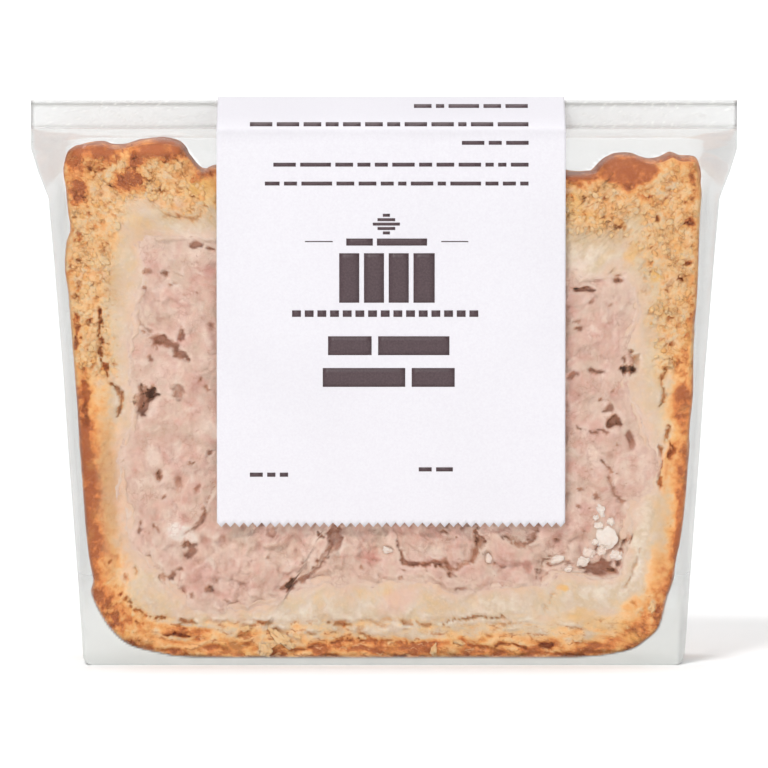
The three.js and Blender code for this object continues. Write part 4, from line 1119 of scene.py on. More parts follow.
def film_surface():
    """Rows of film points from the base to the top of the seal, each row running once round."""
    heights = np.concatenate([
        [0.0, 0.04, 0.12, 0.22], np.linspace(0.35, 12, 36), np.linspace(12.8, 80, 78),
        np.linspace(80.6, 90.5, 18), [SEAL_FOOT],
        np.linspace(91.2, SEAL_TOP, 16),
    ])
    half_width = np.interp(heights, BAG_SECTIONS[:, 0], BAG_SECTIONS[:, 1])
    half_depth = np.interp(heights, BAG_SECTIONS[:, 0], BAG_SECTIONS[:, 2])
    left, right = CRUST_CURVE[CRUST_CURVE[:, 0] < 0], CRUST_CURVE[CRUST_CURVE[:, 0] > 0]
    order_left, order_right = np.argsort(left[:, 1]), np.argsort(right[:, 1])
    pie_left = -np.interp(heights, left[order_left, 1], left[order_left, 0])
    pie_right = np.interp(heights, right[order_right, 1], right[order_right, 0])
    low = heights < FOOT_HEIGHT
    pie_left[low], pie_right[low] = pie_left[~low][0], pie_right[~low][0]
    pie_left, pie_right = eased_out(pie_left), eased_out(pie_right)
    above = smoothstep(79, 90, heights)
    pie_left = np.minimum(pie_left * (1 - above) + 50 * above, half_width - 1) + 0.5
    pie_right = np.minimum(pie_right * (1 - above) + 50 * above, half_width - 1) + 0.5
    flat_shares = np.linspace(-1, 1, 171)
    flat_shares = 0.5 * flat_shares + 0.5 * np.sin(flat_shares * math.pi / 2)
    edge_shares = np.linspace(0, 1, 13)[1:-1]
    rows = []
    for height, width, depth, west, east in zip(heights, half_width, half_depth, pie_left, pie_right):
        over = np.where(flat_shares < 0, flat_shares * west, flat_shares * east)
        past_east = east + (width - east) * edge_shares
        past_west = -(west + (width - west) * edge_shares)
        fall = depth * (1 - edge_shares ** (1.55 + 3.5 * smoothstep(24, 8, height)))
        half = [(-width, 0.0), *zip(past_west[::-1], fall[::-1]), *zip(over, np.full(len(over), depth))]
        half += [*zip(past_east, fall), (width, 0.0)]
        front = [(x, -y) for x, y in half]
        back = [(x, y) for x, y in half[-2:0:-1]]
        rows.append(front + back)
    across_depth = np.array(rows)
    below = np.clip(CORNER_RADIUS - heights, 0, None)
    corner = (half_width - CORNER_RADIUS + np.sqrt(CORNER_RADIUS**2 - below**2))[:, None]
    across_depth[..., 0] = np.clip(across_depth[..., 0], -corner, corner)
    points = np.stack([
        across_depth[..., 0], across_depth[..., 1],
        np.repeat(heights[:, None], across_depth.shape[1], axis=1),
    ], axis=-1)
    return points, pie_left, pie_right, len(flat_shares) + 2 * len(edge_shares) + 2


def build_film():
    points, pie_left, pie_right, half_count = film_surface()
    x, y, z = points[..., 0], points[..., 1], points[..., 2]
    rows, columns = x.shape
    face = np.stack([x, z], axis=-1)
    sign = np.sign(y)
    beyond = np.maximum(-x - pie_left[:, None], x - pie_right[:, None])
    outside = np.linalg.norm(face - PIE_CENTRE, axis=-1)
    outside = outside - reach_in_direction(CRUST_CURVE, angles_about_centre(face))
    free = smoothstep(-0.5, 4.0, beyond)
    in_seal = smoothstep(SEAL_FOOT, SEAL_FOOT + 0.5, z)
    top_free = smoothstep(86.5, 89.5, z) * (1 - in_seal)
    seeds = np.where(sign < 0, 0.0, 40.0)
    space = np.stack([x, z, seeds], axis=-1)
    ripple = 0.05 * noise(space, 9.0, 501) + 0.03 * noise(space, 3.5, 502)
    margin = 0.1 * noise(np.stack([x / 1.8, z / 14.0, seeds], axis=-1), 1.0, 503)
    roof = 0.06 * noise(np.stack([x / 6.0, z / 3.0, seeds], axis=-1), 1.0, 504)
    crease = np.zeros_like(x)
    for line, half_width, height in FILM_CREASES:
        off = np.abs(from_line(face, line)) / half_width
        crease = np.maximum(crease, height * (1 - smoothstep(0, 1, off)))
    push = ripple * (1 - in_seal) + margin * free * (1 - in_seal) + roof * top_free + crease * (1 - in_seal)
    push = np.clip(push, -0.1 - 0.5 * free - 0.5 * top_free, 0.38)
    on_edge = np.abs(y) < 1e-6
    y = np.where(on_edge, 0.0, y + sign * push)
    wave = 0.22 * np.sin(x / 9.5) + 0.15 * noise(np.stack([x, z], axis=-1), 14.0, 505)
    y = y + wave * in_seal * smoothstep(91.2, 95.0, z)

    thread, _, token = grains(face, 0.85, 520)
    speckle = (1 - smoothstep(0.12, 0.34, thread)) * smoothstep(0.35, 0.6, token)
    bare = smoothstep(-0.55, -0.1, outside)
    facing = smoothstep(4.0, -4.5, y)
    haze = CLEAR_HAZE + (BESIDE_HAZE + FOOT_HAZE * smoothstep(20, 2, z) * facing) * bare
    haze = np.maximum(haze, 0.3 * smoothstep(0.02, 0.3, crease) * (0.25 + 0.75 * bare))
    haze = np.maximum(haze, STRIP_HAZE * smoothstep(1.6, 0.9, z) * facing)
    haze = haze * (1 - in_seal) + in_seal * SEAL_HAZE
    line = np.exp(-(((z - 95.2) / 0.25) ** 2)) + 0.6 * np.exp(-(((z - 91.3) / 0.3) ** 2))
    faces = grid_faces(rows, columns, wrap_columns=True).tolist()
    for start in (0, (rows - 1) * columns):
        for column in range(half_count - 1):
            opposite = (columns - column) % columns
            beside = (columns - column - 1) % columns
            loop = [start + column, start + column + 1, start + beside, start + opposite]
            loop = [corner for place, corner in enumerate(loop) if corner not in loop[:place]]
            if len(loop) > 2:
                faces.append(loop[::-1] if start == 0 else loop)
    flat = np.stack([x, y, z], axis=-1).reshape(-1, 3)
    tint = 1 - 0.12 * smoothstep(35, 60, z) - 0.42 * smoothstep(76, 86, z)
    return make_object("film_bag", flat, faces, [
        ("haze", np.clip(haze, 0, 1)), ("seal", in_seal), ("line", line * in_seal),
        ("speckle", speckle * in_seal), ("bare", bare * (1 - in_seal) * tint * smoothstep(0, 14, z)),
    ])


# The paper label

TOOTH_COUNT = 39
TOOTH_DEPTH = 0.8
PAPER_THICKNESS = 0.2
LABEL_OUTER = 10.98
SHOULDER_HEIGHT = 91.1
FOLD_HEIGHT = LABEL_HIGH[2]
FOLD_HALF_WIDTH = 1.0


def label_path():
    """Depth and height along the label's outer face, from the front's edge over the fold to the back."""
    tip = LABEL_LOW[2]
    front = [(-LABEL_OUTER, height) for height in np.linspace(tip, SHOULDER_HEIGHT - 1.2, 54)]
    run, rise = LABEL_OUTER - FOLD_HALF_WIDTH, FOLD_HEIGHT - SHOULDER_HEIGHT
    slope = [
        (-LABEL_OUTER + run * share, SHOULDER_HEIGHT + rise * share)
        for share in np.linspace(0, 1, 14)
    ]
    crown = [(-0.5, FOLD_HEIGHT), (0.0, FOLD_HEIGHT)]
    half = front + [(-LABEL_OUTER, SHOULDER_HEIGHT - 0.6)] + slope + crown
    return np.array(half + [(-depth, height) for depth, height in half[-2::-1]])


def label_curl(x, z, side):
    """How far the paper lies off its plane."""
    place = np.stack([x, z], axis=-1)
    wave = 0.07 * noise(place, 26.0, 601 + side) + 0.035 * noise(place, 9.0, 603 + side)
    lower = 0.12 * smoothstep(LABEL_LOW[2] + 9, LABEL_LOW[2], z) * (0.6 + 0.4 * np.sin(x / 8.0 + side))
    return np.clip(wave + lower, -0.12, 0.2)


def build_label():
    path = label_path()
    per_tooth = 4
    columns = TOOTH_COUNT * per_tooth + 1
    x = np.linspace(LABEL_LOW[0], LABEL_HIGH[0], columns)
    tooth = TOOTH_DEPTH * np.abs(((np.arange(columns) / per_tooth) % 1) * 2 - 1)
    along = np.gradient(path, axis=0)
    along /= np.linalg.norm(along, axis=1, keepdims=True)
    outward = np.stack([-along[:, 1], along[:, 0]], axis=-1)
    rows = len(path)
    sheets = []
    for inset in (0.0, PAPER_THICKNESS):
        depth = np.repeat((path[:, 0] - outward[:, 0] * inset)[:, None], columns, axis=1)
        height = np.repeat((path[:, 1] - outward[:, 1] * inset)[:, None], columns, axis=1)
        from_tip = np.minimum(np.arange(rows), np.arange(rows)[::-1])[:, None]
        height = height + tooth[None, :] * np.clip(1 - from_tip / 2, 0, 1)
        side = (depth > 0).astype(int)
        flat_part = smoothstep(SHOULDER_HEIGHT + 1, SHOULDER_HEIGHT - 3, height)
        spread = x[None, :] + 0 * height
        curl = np.where(side == 0, label_curl(spread, height, 0), label_curl(spread, height, 1))
        depth = depth + np.sign(depth) * curl * flat_part
        sheets.append(np.stack([np.repeat(x[None, :], rows, axis=0), depth, height], axis=-1))
    outer_faces = grid_faces(rows, columns)
    inner_faces = flipped(grid_faces(rows, columns, start=rows * columns))
    count = rows * columns
    rim = (
        [(0, column) for column in range(columns)]
        + [(row, columns - 1) for row in range(1, rows)]
        + [(rows - 1, column) for column in range(columns - 2, -1, -1)]
        + [(row, 0) for row in range(rows - 2, 0, -1)]
    )
    rim = [row * columns + column for row, column in rim]
    edge_faces = [
        [here, here + count, there + count, there] for here, there in zip(rim, rim[1:] + rim[:1])
    ]
    points = np.concatenate([sheet.reshape(-1, 3) for sheet in sheets])
    # Painted shade: the paper is greyer towards the fold at its top, which faces the lamps, with a faint random
    # mottle all over
    top_shade_and_mottle = np.concatenate([
        1.1 * smoothstep(88, 94, sheet[..., 2]).ravel() + 0.2 * noise(sheet[..., [0, 2]], 20.0, 610).ravel()
        for sheet in sheets
    ])
    faces = outer_faces.tolist() + inner_faces.tolist() + edge_faces
    return make_object("paper_label", points, faces, [("tint", top_shade_and_mottle)])


# The print: plain bars in rows and blocks, x and z of the lower left and upper right corner
INK_THICKNESS = 0.03
PRINT_ROWS_UPSIDE_DOWN = [
    (3.8, 24.5, 94.7, 0.6), (-23.6, 24.5, 91.7, 0.65), (12.8, 24.5, 88.6, 0.65), (-20.4, 24.5, 84.9, 0.65),
    (-20.2, 24.5, 81.7, 0.65),
]
# Rows on the back flap: left, right and lower edge
BACK_ROWS = [(-20, 20, 70), (-20, 14, 66.5), (-20, 18, 63), (-20, 6, 59.5)]
BACK_ROW_HEIGHT = 0.95
PRINT_ROWS = [
    (-22.8, -15.4, 32.2, 0.7), (5.9, 11.7, 33.1, 0.7),
]


def word_bars(x0, x1, z, height, seed, aligned_right=False):
    """A row of word-like plain bars."""
    draw = np.random.default_rng(seed)
    bars = []
    place = x1 if aligned_right else x0
    while (place > x0 + 1.2) if aligned_right else (place < x1 - 1.2):
        length = draw.choice([1.4, 2.2, 3.0, 3.8, 5.2], p=[0.2, 0.25, 0.25, 0.2, 0.1])
        gap = 0.75
        if aligned_right:
            start = max(place - length, x0)
            bars.append((start, place, z, z + height))
            place = start - gap
        else:
            end = min(place + length, x1)
            bars.append((place, end, z, z + height))
            place = end + gap
    return bars


def label_bars():
    bars = []
    for row, (x0, x1, z, height) in enumerate(PRINT_ROWS_UPSIDE_DOWN):
        bars += word_bars(x0, x1, z, height, 40 + row, aligned_right=True)
    bars += [(-13.4, -8.7, 72.1, 72.28), (9.7, 14.3, 72.1, 72.28)]
    bars += [(-6.4, -1.9, 71.5, 72.7), (-1.2, 7.3, 71.5, 72.7)]
    tall = ((-7.6, -4.2), (-3.4, 0.0), (0.8, 4.2), (5.0, 8.6))
    bars += [(left, right, 61.8, 70.2) for left, right in tall]
    bars += [(start, start + 1.5, 59.4, 60.5) for start in np.arange(-15.6, 15.6, 2.15)]
    bars += [(-9.5, -2.1, 52.9, 56.1), (-1.0, 11.1, 52.9, 56.1)]
    bars += [(-10.4, 3.6, 47.5, 50.7), (4.7, 12.0, 47.5, 50.7)]
    for row, (x0, x1, z, height) in enumerate(PRINT_ROWS):
        bars += word_bars(x0, x1, z, height, 60 + row)
    return bars


def emblem_bars():
    """A small emblem: a diamond of short bars."""
    thickness, pitch, middle, foot = 0.5, 0.75, 0.4, 73.4
    half_widths = [0.6, 1.5, 2.3, 1.5, 0.6]
    return [
        (middle - half, middle + half, foot + row * pitch, foot + row * pitch + thickness)
        for row, half in enumerate(half_widths)
    ]


def build_print():
    """Every bar as a thin closed strip that lies on the label's outer surface."""
    points, faces = [], []
    start = 0
    listed = [(bar, 0) for bar in label_bars() + emblem_bars()]
    for row, (x0, x1, z) in enumerate(BACK_ROWS):
        listed += [(bar, 1) for bar in word_bars(x0, x1, z, BACK_ROW_HEIGHT, 80 + row)]
    for (x0, x1, z0, z1), side in listed:
        steps = max(2, int((x1 - x0) / 1.0) + 1)
        levels = max(2, int((z1 - z0) / 1.0) + 1)
        x, z = np.meshgrid(np.linspace(x0, x1, steps), np.linspace(z0, z1, levels))
        on_slope = np.clip((z - SHOULDER_HEIGHT) / (FOLD_HEIGHT - SHOULDER_HEIGHT), 0, 1)
        flat_part = smoothstep(SHOULDER_HEIGHT + 1, SHOULDER_HEIGHT - 3, z)
        surface = LABEL_OUTER - (LABEL_OUTER - FOLD_HALF_WIDTH) * on_slope
        surface = surface + label_curl(x, z, side) * flat_part
        sign = 1 if side else -1
        layers = []
        for lift in (INK_THICKNESS, -0.05):
            layer = np.stack([x, sign * (surface + lift), z + lift * (on_slope > 0)], axis=-1)
            layers.append(layer.reshape(-1, 3))
        rows, columns = x.shape
        count = rows * columns
        top = grid_faces(rows, columns, start=start)
        under = flipped(grid_faces(rows, columns, start=start + count))
        if side:
            top, under = flipped(top), flipped(under)
        rim = (
            [(0, column) for column in range(columns)] + [(row, columns - 1) for row in range(1, rows)]
            + [(rows - 1, column) for column in range(columns - 2, -1, -1)]
            + [(row, 0) for row in range(rows - 2, 0, -1)]
        )
        rim = [start + row * columns + column for row, column in rim]
        edges = [[here, here + count, there + count, there] for here, there in zip(rim, rim[1:] + rim[:1])]
        if side:
            edges = [edge[::-1] for edge in edges]
        faces += top.tolist() + under.tolist() + edges
        points += layers
        start += 2 * count
    return make_object("label_print", np.vstack(points), faces)


# Materials

class Nodes:
    """A material and the nodes added to it."""

    def __init__(self, name):
        self.material = bpy.data.materials.new(name)
        self.material.use_nodes = True
        self.tree = self.material.node_tree
        self.tree.nodes.clear()

    def add(self, kind, inputs=None, **settings):
        """A node of that kind. inputs maps a socket's number or name to its value or to what feeds it."""
        node = self.tree.nodes.new(kind)
        for key, value in settings.items():
            setattr(node, key, value)
        for key, value in (inputs or {}).items():
            if isinstance(value, bpy.types.NodeSocket):
                self.tree.links.new(value, node.inputs[key])
            else:
                node.inputs[key].default_value = value
        return node

    def attribute(self, name):
        return self.add("ShaderNodeAttribute", attribute_name=name).outputs["Fac"]

    def place(self):
        return self.add("ShaderNodeTexCoord").outputs["Object"]

    def noise(self, scale, detail=3.0, roughness=0.6, vector=None):
        inputs = {"Vector": vector or self.place(), "Scale": scale, "Detail": detail, "Roughness": roughness}
        return self.add("ShaderNodeTexNoise", inputs).outputs["Fac"]

    def shaken(self, vector, scale, reach):
        """The place pushed about by noise, at most about reach metres."""
        node = self.add("ShaderNodeTexNoise", {"Vector": vector, "Scale": scale, "Detail": 2.0})
        inputs = {0: node.outputs["Color"], 1: (0.5, 0.5, 0.5)}
        push = self.add("ShaderNodeVectorMath", inputs, operation="SUBTRACT")
        scaled = self.add("ShaderNodeVectorMath", {0: push.outputs[0], "Scale": reach * 2}, operation="SCALE")
        return self.add("ShaderNodeVectorMath", {0: vector, 1: scaled.outputs[0]}, operation="ADD").outputs[0]

    def cells(self, scale, vector):
        """Grains: tone, a random number for each, and edge, the distance from the border between two."""
        nearest = self.add("ShaderNodeTexVoronoi", {"Vector": vector, "Scale": scale})
        inputs = {"Vector": vector, "Scale": scale}
        edge = self.add("ShaderNodeTexVoronoi", inputs, feature="DISTANCE_TO_EDGE")
        tone = self.add("ShaderNodeSeparateColor", {0: nearest.outputs["Color"]})
        return {"tone": tone.outputs[0], "edge": edge.outputs["Distance"]}

    def math(self, operation, first, second=0.5, clamp=False):
        node = self.add("ShaderNodeMath", {0: first, 1: second}, operation=operation, use_clamp=clamp)
        return node.outputs[0]

    def between(self, value, low, high, to_low=0.0, to_high=1.0):
        inputs = {"Value": value, "From Min": low, "From Max": high, "To Min": to_low, "To Max": to_high}
        return self.add("ShaderNodeMapRange", inputs).outputs["Result"]

    def mix(self, share, first, second, blend="MIX"):
        node = self.add("ShaderNodeMix", data_type="RGBA", blend_type=blend)
        for key, value in ((0, share), (6, first), (7, second)):
            if isinstance(value, bpy.types.NodeSocket):
                self.tree.links.new(value, node.inputs[key])
            else:
                node.inputs[key].default_value = value
        return node.outputs[2]

    def stain_and_shade(self, colour, value, low, high, most, tone):
        """The colour turned towards the tone as the value goes from low to high, at most by that share."""
        return self.mix(self.between(value, low, high, 0, most), colour, linear(*tone))

    def ramp(self, value, stops):
        node = self.add("ShaderNodeValToRGB", {"Fac": value})
        while len(node.color_ramp.elements) < len(stops):
            node.color_ramp.elements.new(0.5)
        for element, (position, colour) in zip(node.color_ramp.elements, stops):
            element.position = position
            element.color = colour
        return node.outputs["Color"]

    def hollows(self, colour, dark, noise, tan, deep):
        """The colour with its hollows, their own colour and painted shade: tan at their rims, and deep with a
        ragged edge in their middles.
        """
        ragged = self.math("ADD", dark, self.between(noise, 0.3, 0.7, -0.3, 0.3))
        colour = self.mix(self.between(ragged, 0.1, 0.5, 0, 0.7), colour, tan)
        return self.mix(self.between(ragged, 0.55, 0.8, 0, 0.9), colour, deep)

    def bump(self, height, strength, distance, before=None):
        inputs = {"Height": height, "Strength": strength, "Distance": distance}
        if before is not None:
            inputs["Normal"] = before
        return self.add("ShaderNodeBump", inputs).outputs["Normal"]

    def finish(self, shader):
        self.add("ShaderNodeOutputMaterial", {"Surface": shader})
        return self.material


# Colours of the pastry, from raw to browned
PASTRY_TONES = [
    (0.0, linear(238, 224, 206)), (0.14, linear(223, 203, 182)), (0.28, linear(231, 203, 168)),
    (0.46, linear(246, 203, 150)), (0.68, linear(246, 181, 110)), (0.86, linear(228, 141, 74)),
    (1.0, linear(180, 98, 50)),
]


def pastry_material():
    made = Nodes("baked_pastry")
    place = made.place()
    fine = made.noise(1500.0, 4.0, 0.65, place)
    grit = made.noise(5200.0, 2.0, 0.5, place)
    broad = made.noise(420.0, 3.0, 0.55, place)
    patch = made.noise(190.0, 3.0, 0.6, place)
    shaken = made.shaken(place, 1100.0, 0.0007)
    crumb = made.cells(1050.0, shaken)
    small = made.cells(2300.0, shaken)
    crumbly = made.attribute("crumbly")
    bake = made.attribute("bake")
    bake = made.math("ADD", bake, made.between(fine, 0.3, 0.7, -0.06, 0.06))
    bake = made.math("ADD", bake, made.between(broad, 0.3, 0.7, -0.08, 0.08))
    grain = made.between(crumb["tone"], 0, 1, -0.06, 0.06)
    grain = made.math("ADD", grain, made.between(small["tone"], 0, 1, -0.05, 0.05))
    bake = made.math("ADD", bake, made.math("MULTIPLY", grain, crumbly))
    # Painted shade: the crust is baked darker in the hollows of its relief and slightly paler on its high
    # points
    bake = made.math("ADD", bake, made.between(made.attribute("cavity_shade"), -0.4, 0.6, -0.06, 0.25))
    colour = made.ramp(bake, PASTRY_TONES)
    warm = made.math("MULTIPLY", crumbly, made.between(bake, 0.34, 0.1, 0, 0.6))
    colour = made.mix(warm, colour, linear(242, 214, 172))
    colour = made.mix(made.between(patch, 0.42, 0.62, 0, 0.3), colour, linear(228, 210, 184), "MULTIPLY")
    raw = made.between(bake, 0.42, 0.2)
    streak = made.math("MULTIPLY", made.between(broad, 0.5, 0.62, 0, 0.4), raw)
    colour = made.mix(streak, colour, linear(212, 188, 150))
    streak = made.math("MULTIPLY", made.between(fine, 0.56, 0.66, 0, 0.35), raw)
    colour = made.mix(streak, colour, linear(246, 228, 204))
    colour = made.stain_and_shade(colour, made.attribute("yellow"), 0, 1, 0.8, (240, 188, 104))
    colour = made.stain_and_shade(colour, made.attribute("rosy"), 0, 1, 0.8, (231, 194, 176))
    colour = made.stain_and_shade(colour, made.attribute("tan"), 0, 1, 0.8, (204, 160, 116))
    pale_grit = made.math("MULTIPLY", made.between(grit, 0.6, 0.72), made.between(crumbly, 0, 1, 0.15, 0.3))
    colour = made.mix(pale_grit, colour, linear(250, 222, 176))

    # Painted shade: thin orange-brown lines along the edges of the crumb's large and small grains, where the
    # crevices between them lie in shadow
    baked = made.between(bake, 0.12, 0.36)
    gate = made.math("MULTIPLY", made.between(broad, 0.55, 0.63), made.math("MULTIPLY", crumbly, baked))
    seam = made.math("MULTIPLY", made.between(crumb["edge"], 0.05, 0.16, 0.5, 0.0), gate)
    colour = made.mix(seam, colour, linear(216, 146, 86))
    nick = made.between(small["edge"], 0.08, 0.24, 0.7, 0.0)
    nick = made.math("MULTIPLY", nick, made.between(fine, 0.64, 0.71))
    nick = made.math("MULTIPLY", nick, made.math("MULTIPLY", crumbly, baked))
    colour = made.mix(nick, colour, linear(184, 112, 58))
    strata = made.add("ShaderNodeMapping", {"Vector": shaken, "Scale": (0.28, 0.28, 1.0)}).outputs[0]
    sheet = made.noise(1700.0, 3.0, 0.6, strata)
    line = made.math("MULTIPLY", made.attribute("flaky"), baked)
    line = made.math("MULTIPLY", made.between(sheet, 0.57, 0.63), line)
    colour = made.mix(made.math("MULTIPLY", line, 0.75), colour, linear(190, 112, 56))
    glint = made.math("MULTIPLY", made.between(sheet, 0.42, 0.36), made.attribute("flaky"))
    colour = made.mix(made.math("MULTIPLY", glint, 0.5), colour, linear(246, 206, 148))
    # Hollows of the crust: their own darker colour and painted shade, from the dark attribute
    tan = made.mix(made.between(bake, 0.1, 0.6), linear(212, 166, 124), linear(200, 118, 58))
    deep = made.mix(made.between(bake, 0.1, 0.7), linear(176, 116, 72), linear(146, 74, 34))
    colour = made.hollows(colour, made.attribute("dark"), made.mix(0.5, fine, grit), tan, deep)

    roughness = made.between(fine, 0.3, 0.7, 0.5, 0.68)
    steps = made.math("ADD", crumb["tone"], made.math("MULTIPLY", small["tone"], 0.7))
    steps = made.math("SUBTRACT", steps, made.math("MULTIPLY", seam, 2.0))
    normal = made.bump(made.math("MULTIPLY", steps, crumbly), 0.7, 0.0003)
    normal = made.bump(fine, 0.4, 0.0002, normal)
    normal = made.bump(grit, 0.25, 0.00006, normal)
    shader = made.add("ShaderNodeBsdfPrincipled", {
        "Base Color": colour, "Roughness": roughness, "Normal": normal, "Specular IOR Level": 0.35,
        "Subsurface Weight": 0.15, "Subsurface Radius": (1.0, 0.5, 0.25), "Subsurface Scale": 0.0012,
    })
    return made.finish(shader.outputs[0])


def meat_material():
    made = Nodes("cooked_pork")
    place = made.place()
    fine = made.noise(1300.0, 4.0, 0.6, place)
    grit = made.noise(4200.0, 2.0, 0.5, place)
    broad = made.noise(330.0, 3.0, 0.55, place)
    patch = made.noise(210.0, 4.0, 0.6, place)
    lean = made.math("ADD", made.attribute("lean"), made.between(broad, 0.3, 0.7, -0.3, 0.3))
    colour = made.ramp(lean, [
        (0.0, linear(234, 204, 186)), (0.5, linear(222, 182, 164)), (1.0, linear(208, 158, 142)),
    ])
    colour = made.stain_and_shade(colour, patch, 0.45, 0.62, 0.65, (210, 186, 164))
    colour = made.stain_and_shade(colour, patch, 0.44, 0.3, 0.5, (230, 186, 178))
    fat = made.math("ADD", made.attribute("fat"), made.between(fine, 0.3, 0.7, -0.12, 0.12))
    colour = made.stain_and_shade(colour, fat, 0.1, 1.0, 0.75, (242, 222, 206))
    colour = made.stain_and_shade(colour, fat, 0.95, 1.2, 0.85, (240, 229, 219))
    colour = made.stain_and_shade(colour, made.attribute("grey"), 0, 1, 0.6, (200, 174, 156))
    colour = made.stain_and_shade(colour, made.attribute("dough"), 0, 1, 0.9, (228, 202, 182))
    upright = made.add("ShaderNodeMapping", {"Vector": place, "Scale": (1.0, 1.0, 0.4)}).outputs[0]
    smear = made.noise(620.0, 2.0, 0.5, upright)
    colour = made.stain_and_shade(colour, smear, 0.55, 0.68, 0.45, (238, 212, 198))
    colour = made.stain_and_shade(colour, smear, 0.42, 0.32, 0.4, (198, 154, 142))
    red = made.math("ADD", made.attribute("red"), made.between(fine, 0.3, 0.7, -0.1, 0.1))
    colour = made.stain_and_shade(colour, red, 0.05, 1.0, 0.75, (212, 144, 130))
    pale = made.math("MULTIPLY", made.between(grit, 0.62, 0.75), 0.25)
    colour = made.mix(pale, colour, linear(236, 214, 196))
    shaken = made.shaken(place, 700.0, 0.0012)
    scrap = made.cells(800.0, shaken)
    shred = made.cells(1900.0, shaken)
    crack = made.between(scrap["edge"], 0.02, 0.1, 0.4, 0.0)
    crack = made.math("MULTIPLY", crack, made.between(broad, 0.52, 0.6))
    colour = made.mix(crack, colour, linear(184, 134, 114))
    blush = made.between(shred["tone"], 0.0, 1.0, 0.0, 0.16)
    colour = made.mix(blush, colour, linear(196, 150, 134))
    # Painted shade in the meat's hollows and a painted highlight on its high points
    cavity_shade = made.attribute("cavity_shade")
    colour = made.stain_and_shade(colour, cavity_shade, 0.06, 0.6, 0.7, (192, 142, 122))
    colour = made.stain_and_shade(colour, cavity_shade, -0.05, -0.4, 0.35, (240, 216, 200))
    speck = made.math("MULTIPLY", made.between(fine, 0.66, 0.72), made.between(patch, 0.42, 0.52))
    colour = made.mix(made.math("MULTIPLY", speck, 0.45), colour, linear(164, 108, 88))
    ragged = made.mix(0.5, fine, grit)
    # Hollows of the meat: their own darker colour and painted shade, from the dark attribute
    darker = made.between(made.attribute("dark"), 0.5, 1, -0.15, 0.15)
    fine_gate = made.between(made.math("ADD", fine, darker), 0.42, 0.58)
    deep = made.mix(fine_gate, linear(174, 114, 74), linear(106, 68, 42))
    colour = made.hollows(colour, made.attribute("dark"), ragged, linear(198, 142, 110), deep)
    roughness = made.between(broad, 0.3, 0.7, 0.38, 0.55)
    steps = made.math("ADD", scrap["tone"], made.math("MULTIPLY", shred["tone"], 0.6))
    normal = made.bump(steps, 0.3, 0.0003)
    normal = made.bump(fine, 0.35, 0.0002, normal)
    normal = made.bump(grit, 0.2, 0.00005, normal)
    shader = made.add("ShaderNodeBsdfPrincipled", {
        "Base Color": colour, "Roughness": roughness, "Normal": normal, "Specular IOR Level": 0.45,
        "Subsurface Weight": 0.15, "Subsurface Radius": (1.0, 0.5, 0.35), "Subsurface Scale": 0.0012,
    })
    return made.finish(shader.outputs[0])


def fat_material():
    made = Nodes("pork_fat")
    place = made.place()
    fine = made.noise(1400.0, 3.0, 0.6, place)
    colour = made.mix(made.attribute("tone"), linear(240, 230, 220), linear(236, 212, 198))
    colour = made.stain_and_shade(colour, fine, 0.4, 0.75, 0.4, (228, 200, 182))
    normal = made.bump(fine, 0.3, 0.00015)
    shader = made.add("ShaderNodeBsdfPrincipled", {
        "Base Color": colour, "Roughness": made.between(fine, 0.3, 0.7, 0.3, 0.45), "Normal": normal,
        "Subsurface Weight": 0.3, "Subsurface Radius": (1.0, 0.8, 0.6), "Subsurface Scale": 0.001,
    })
    return made.finish(shader.outputs[0])


FILM_TINT = (0.79, 0.8, 0.8, 1.0)


def film_material():
    made = Nodes("clear_film")
    place = made.place()
    soft = made.noise(140.0, 3.0, 0.5, place)
    speckle = made.attribute("speckle")
    tint = made.mix(made.attribute("bare"), (1.0, 1.0, 1.0, 1.0), FILM_TINT)
    clear = made.add("ShaderNodeBsdfTransparent", {"Color": tint})
    normal = made.bump(soft, 0.1, 0.0004)
    gloss = made.add("ShaderNodeBsdfGlossy", {"Color": (1, 1, 1, 1), "Roughness": 0.12, "Normal": normal})
    edge = made.add("ShaderNodeFresnel", {"IOR": 1.4, "Normal": normal})
    shine = made.add("ShaderNodeMixShader", {
        0: made.math("MULTIPLY", edge.outputs[0], 0.25), 1: clear.outputs[0], 2: gloss.outputs[0],
    })
    grey = made.mix(made.attribute("seal"), linear(213, 215, 212), linear(225, 226, 225))
    grey = made.mix(made.attribute("line"), grey, linear(176, 176, 172))
    grey = made.mix(made.math("MULTIPLY", speckle, 0.5), grey, linear(236, 235, 233))
    cloud = made.add("ShaderNodeBsdfPrincipled", {"Base Color": grey, "Roughness": 0.35})
    haze = made.math("MULTIPLY", made.attribute("haze"), made.between(soft, 0.3, 0.7, 0.96, 1.04))
    haze = made.math("ADD", haze, made.math("MULTIPLY", made.attribute("line"), 0.3))
    haze = made.math("ADD", haze, made.math("MULTIPLY", speckle, 0.12), clamp=True)
    shader = made.add("ShaderNodeMixShader", {0: haze, 1: shine.outputs[0], 2: cloud.outputs[0]})
    return made.finish(shader.outputs[0])


def paper_material():
    made = Nodes("white_paper")
    place = made.place()
    fibre = made.noise(2600.0, 4.0, 0.7, place)
    soft = made.noise(60.0, 2.0, 0.5, place)
    colour = made.mix(made.between(fibre, 0.35, 0.65), linear(227, 224, 230), linear(232, 230, 235))
    # Painted shade towards the label's top, and a faint mottle, from the tint attribute
    tint = made.math("MULTIPLY", made.attribute("tint"), 0.5, clamp=True)
    colour = made.mix(tint, colour, linear(192, 189, 195))
    normal = made.bump(fibre, 0.12, 0.00004)
    normal = made.bump(soft, 0.04, 0.0006, normal)
    shader = made.add("ShaderNodeBsdfPrincipled", {
        "Base Color": colour, "Roughness": made.between(fibre, 0.3, 0.7, 0.5, 0.62), "Normal": normal,
    })
    return made.finish(shader.outputs[0])


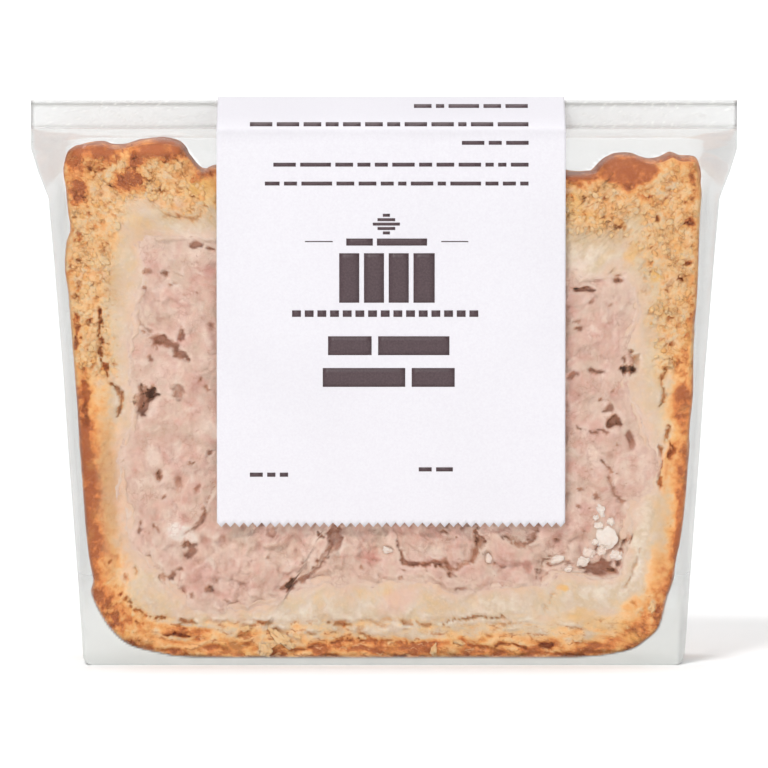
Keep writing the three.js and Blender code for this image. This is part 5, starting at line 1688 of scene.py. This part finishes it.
def ink_material():
    made = Nodes("brown_ink")
    grain = made.noise(3000.0, 3.0, 0.6)
    colour = made.mix(made.between(grain, 0.35, 0.65), linear(70, 52, 57), linear(86, 68, 72))
    roughness = made.between(grain, 0.3, 0.7, 0.42, 0.55)
    shader = made.add("ShaderNodeBsdfPrincipled", {"Base Color": colour, "Roughness": roughness})
    return made.finish(shader.outputs[0])


def stage_material():
    made = Nodes("studio_white")
    grain = made.noise(30.0)
    colour = made.mix(made.between(grain, 0.3, 0.7), (0.93, 0.93, 0.93, 1), (0.95, 0.95, 0.95, 1))
    shader = made.add("ShaderNodeBsdfPrincipled", {
        "Base Color": colour, "Roughness": 0.9, "Specular IOR Level": 0.1,
    })
    return made.finish(shader.outputs[0])


# The object

pastry_look = pastry_material()
placed = [
    (build_pastry(), "pastry", pastry_look),
    (build_crumbs(), "pastry", pastry_look),
    (build_filling(), "filling", meat_material()),
    (build_fat(), "filling", fat_material()),
    (build_film(), "bag", film_material()),
    (build_label(), "label", paper_material()),
    (build_print(), "label", ink_material()),
]
for piece, node, look in placed:
    piece.data.materials.append(look)
    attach(piece, "root")
    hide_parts(node)


# The studio

def make_floor():
    """A pale sheet that lies flat under the object and curves up behind it."""
    half_width, front, bend_start, bend_radius, top = 1.6, -1.6, 0.9, 0.5, 1.8
    line = [(front, 0.0), (bend_start, 0.0)]
    for step in range(1, 13):
        angle = step / 12 * math.pi / 2
        line.append((bend_start + bend_radius * math.sin(angle), bend_radius * (1 - math.cos(angle))))
    line.append((bend_start + bend_radius, top))
    points = [(x / MM, y / MM, z / MM) for y, z in line for x in (-half_width, half_width)]
    faces = grid_faces(len(line), 2)
    return make_object("studio_floor", points, faces.tolist())


def add_light(name, place, aim, size, power):
    lamp = bpy.data.lights.new(name, "AREA")
    lamp.shape = "RECTANGLE"
    lamp.size, lamp.size_y = size
    lamp.energy = power
    holder = bpy.data.objects.new(name, lamp)
    holder.location = place
    holder.rotation_euler = (Vector(aim) - Vector(place)).to_track_quat("-Z", "Y").to_euler()
    bpy.context.collection.objects.link(holder)


floor = make_floor()
floor.data.materials.append(stage_material())

TARGET = (0.0, 0.0, 0.045)
add_light("key", (-0.55, -1.1, 1.45), TARGET, (0.5, 0.4), 20.0)
add_light("fill", (1.2, -1.3, 0.6), TARGET, (1.0, 1.0), 2.4)
add_light("low", (0.1, -1.4, 0.1), (0.0, 0.0, 0.0), (1.8, 0.2), 1.8)
add_light("backdrop", (0.0, 0.3, 1.7), (0.0, 1.3, 0.3), (2.0, 0.6), 20.0)

world = bpy.data.worlds.new("studio")
world.use_nodes = True
world.node_tree.nodes["Background"].inputs["Color"].default_value = (1.0, 1.0, 1.0, 1.0)
world.node_tree.nodes["Background"].inputs["Strength"].default_value = 0.32
bpy.context.scene.world = world
bpy.context.scene.view_settings.view_transform = "Standard"

camera_data = bpy.data.cameras.new("camera")
camera_data.sensor_width = SENSOR_WIDTH
camera_data.lens = SENSOR_WIDTH * CAMERA_DISTANCE / PICTURE_WIDTH
camera = bpy.data.objects.new("camera", camera_data)
aim = Vector((0.0, -CUT_DEPTH * MM, PICTURE_CENTRE_HEIGHT * MM))
tilt = math.radians(CAMERA_ELEVATION)
back_off = Vector((0.0, -math.cos(tilt), math.sin(tilt))) * CAMERA_DISTANCE * MM
camera.location = aim + back_off
camera.rotation_euler = (-back_off).to_track_quat("-Z", "Y").to_euler()
bpy.context.collection.objects.link(camera)
bpy.context.scene.camera = camera
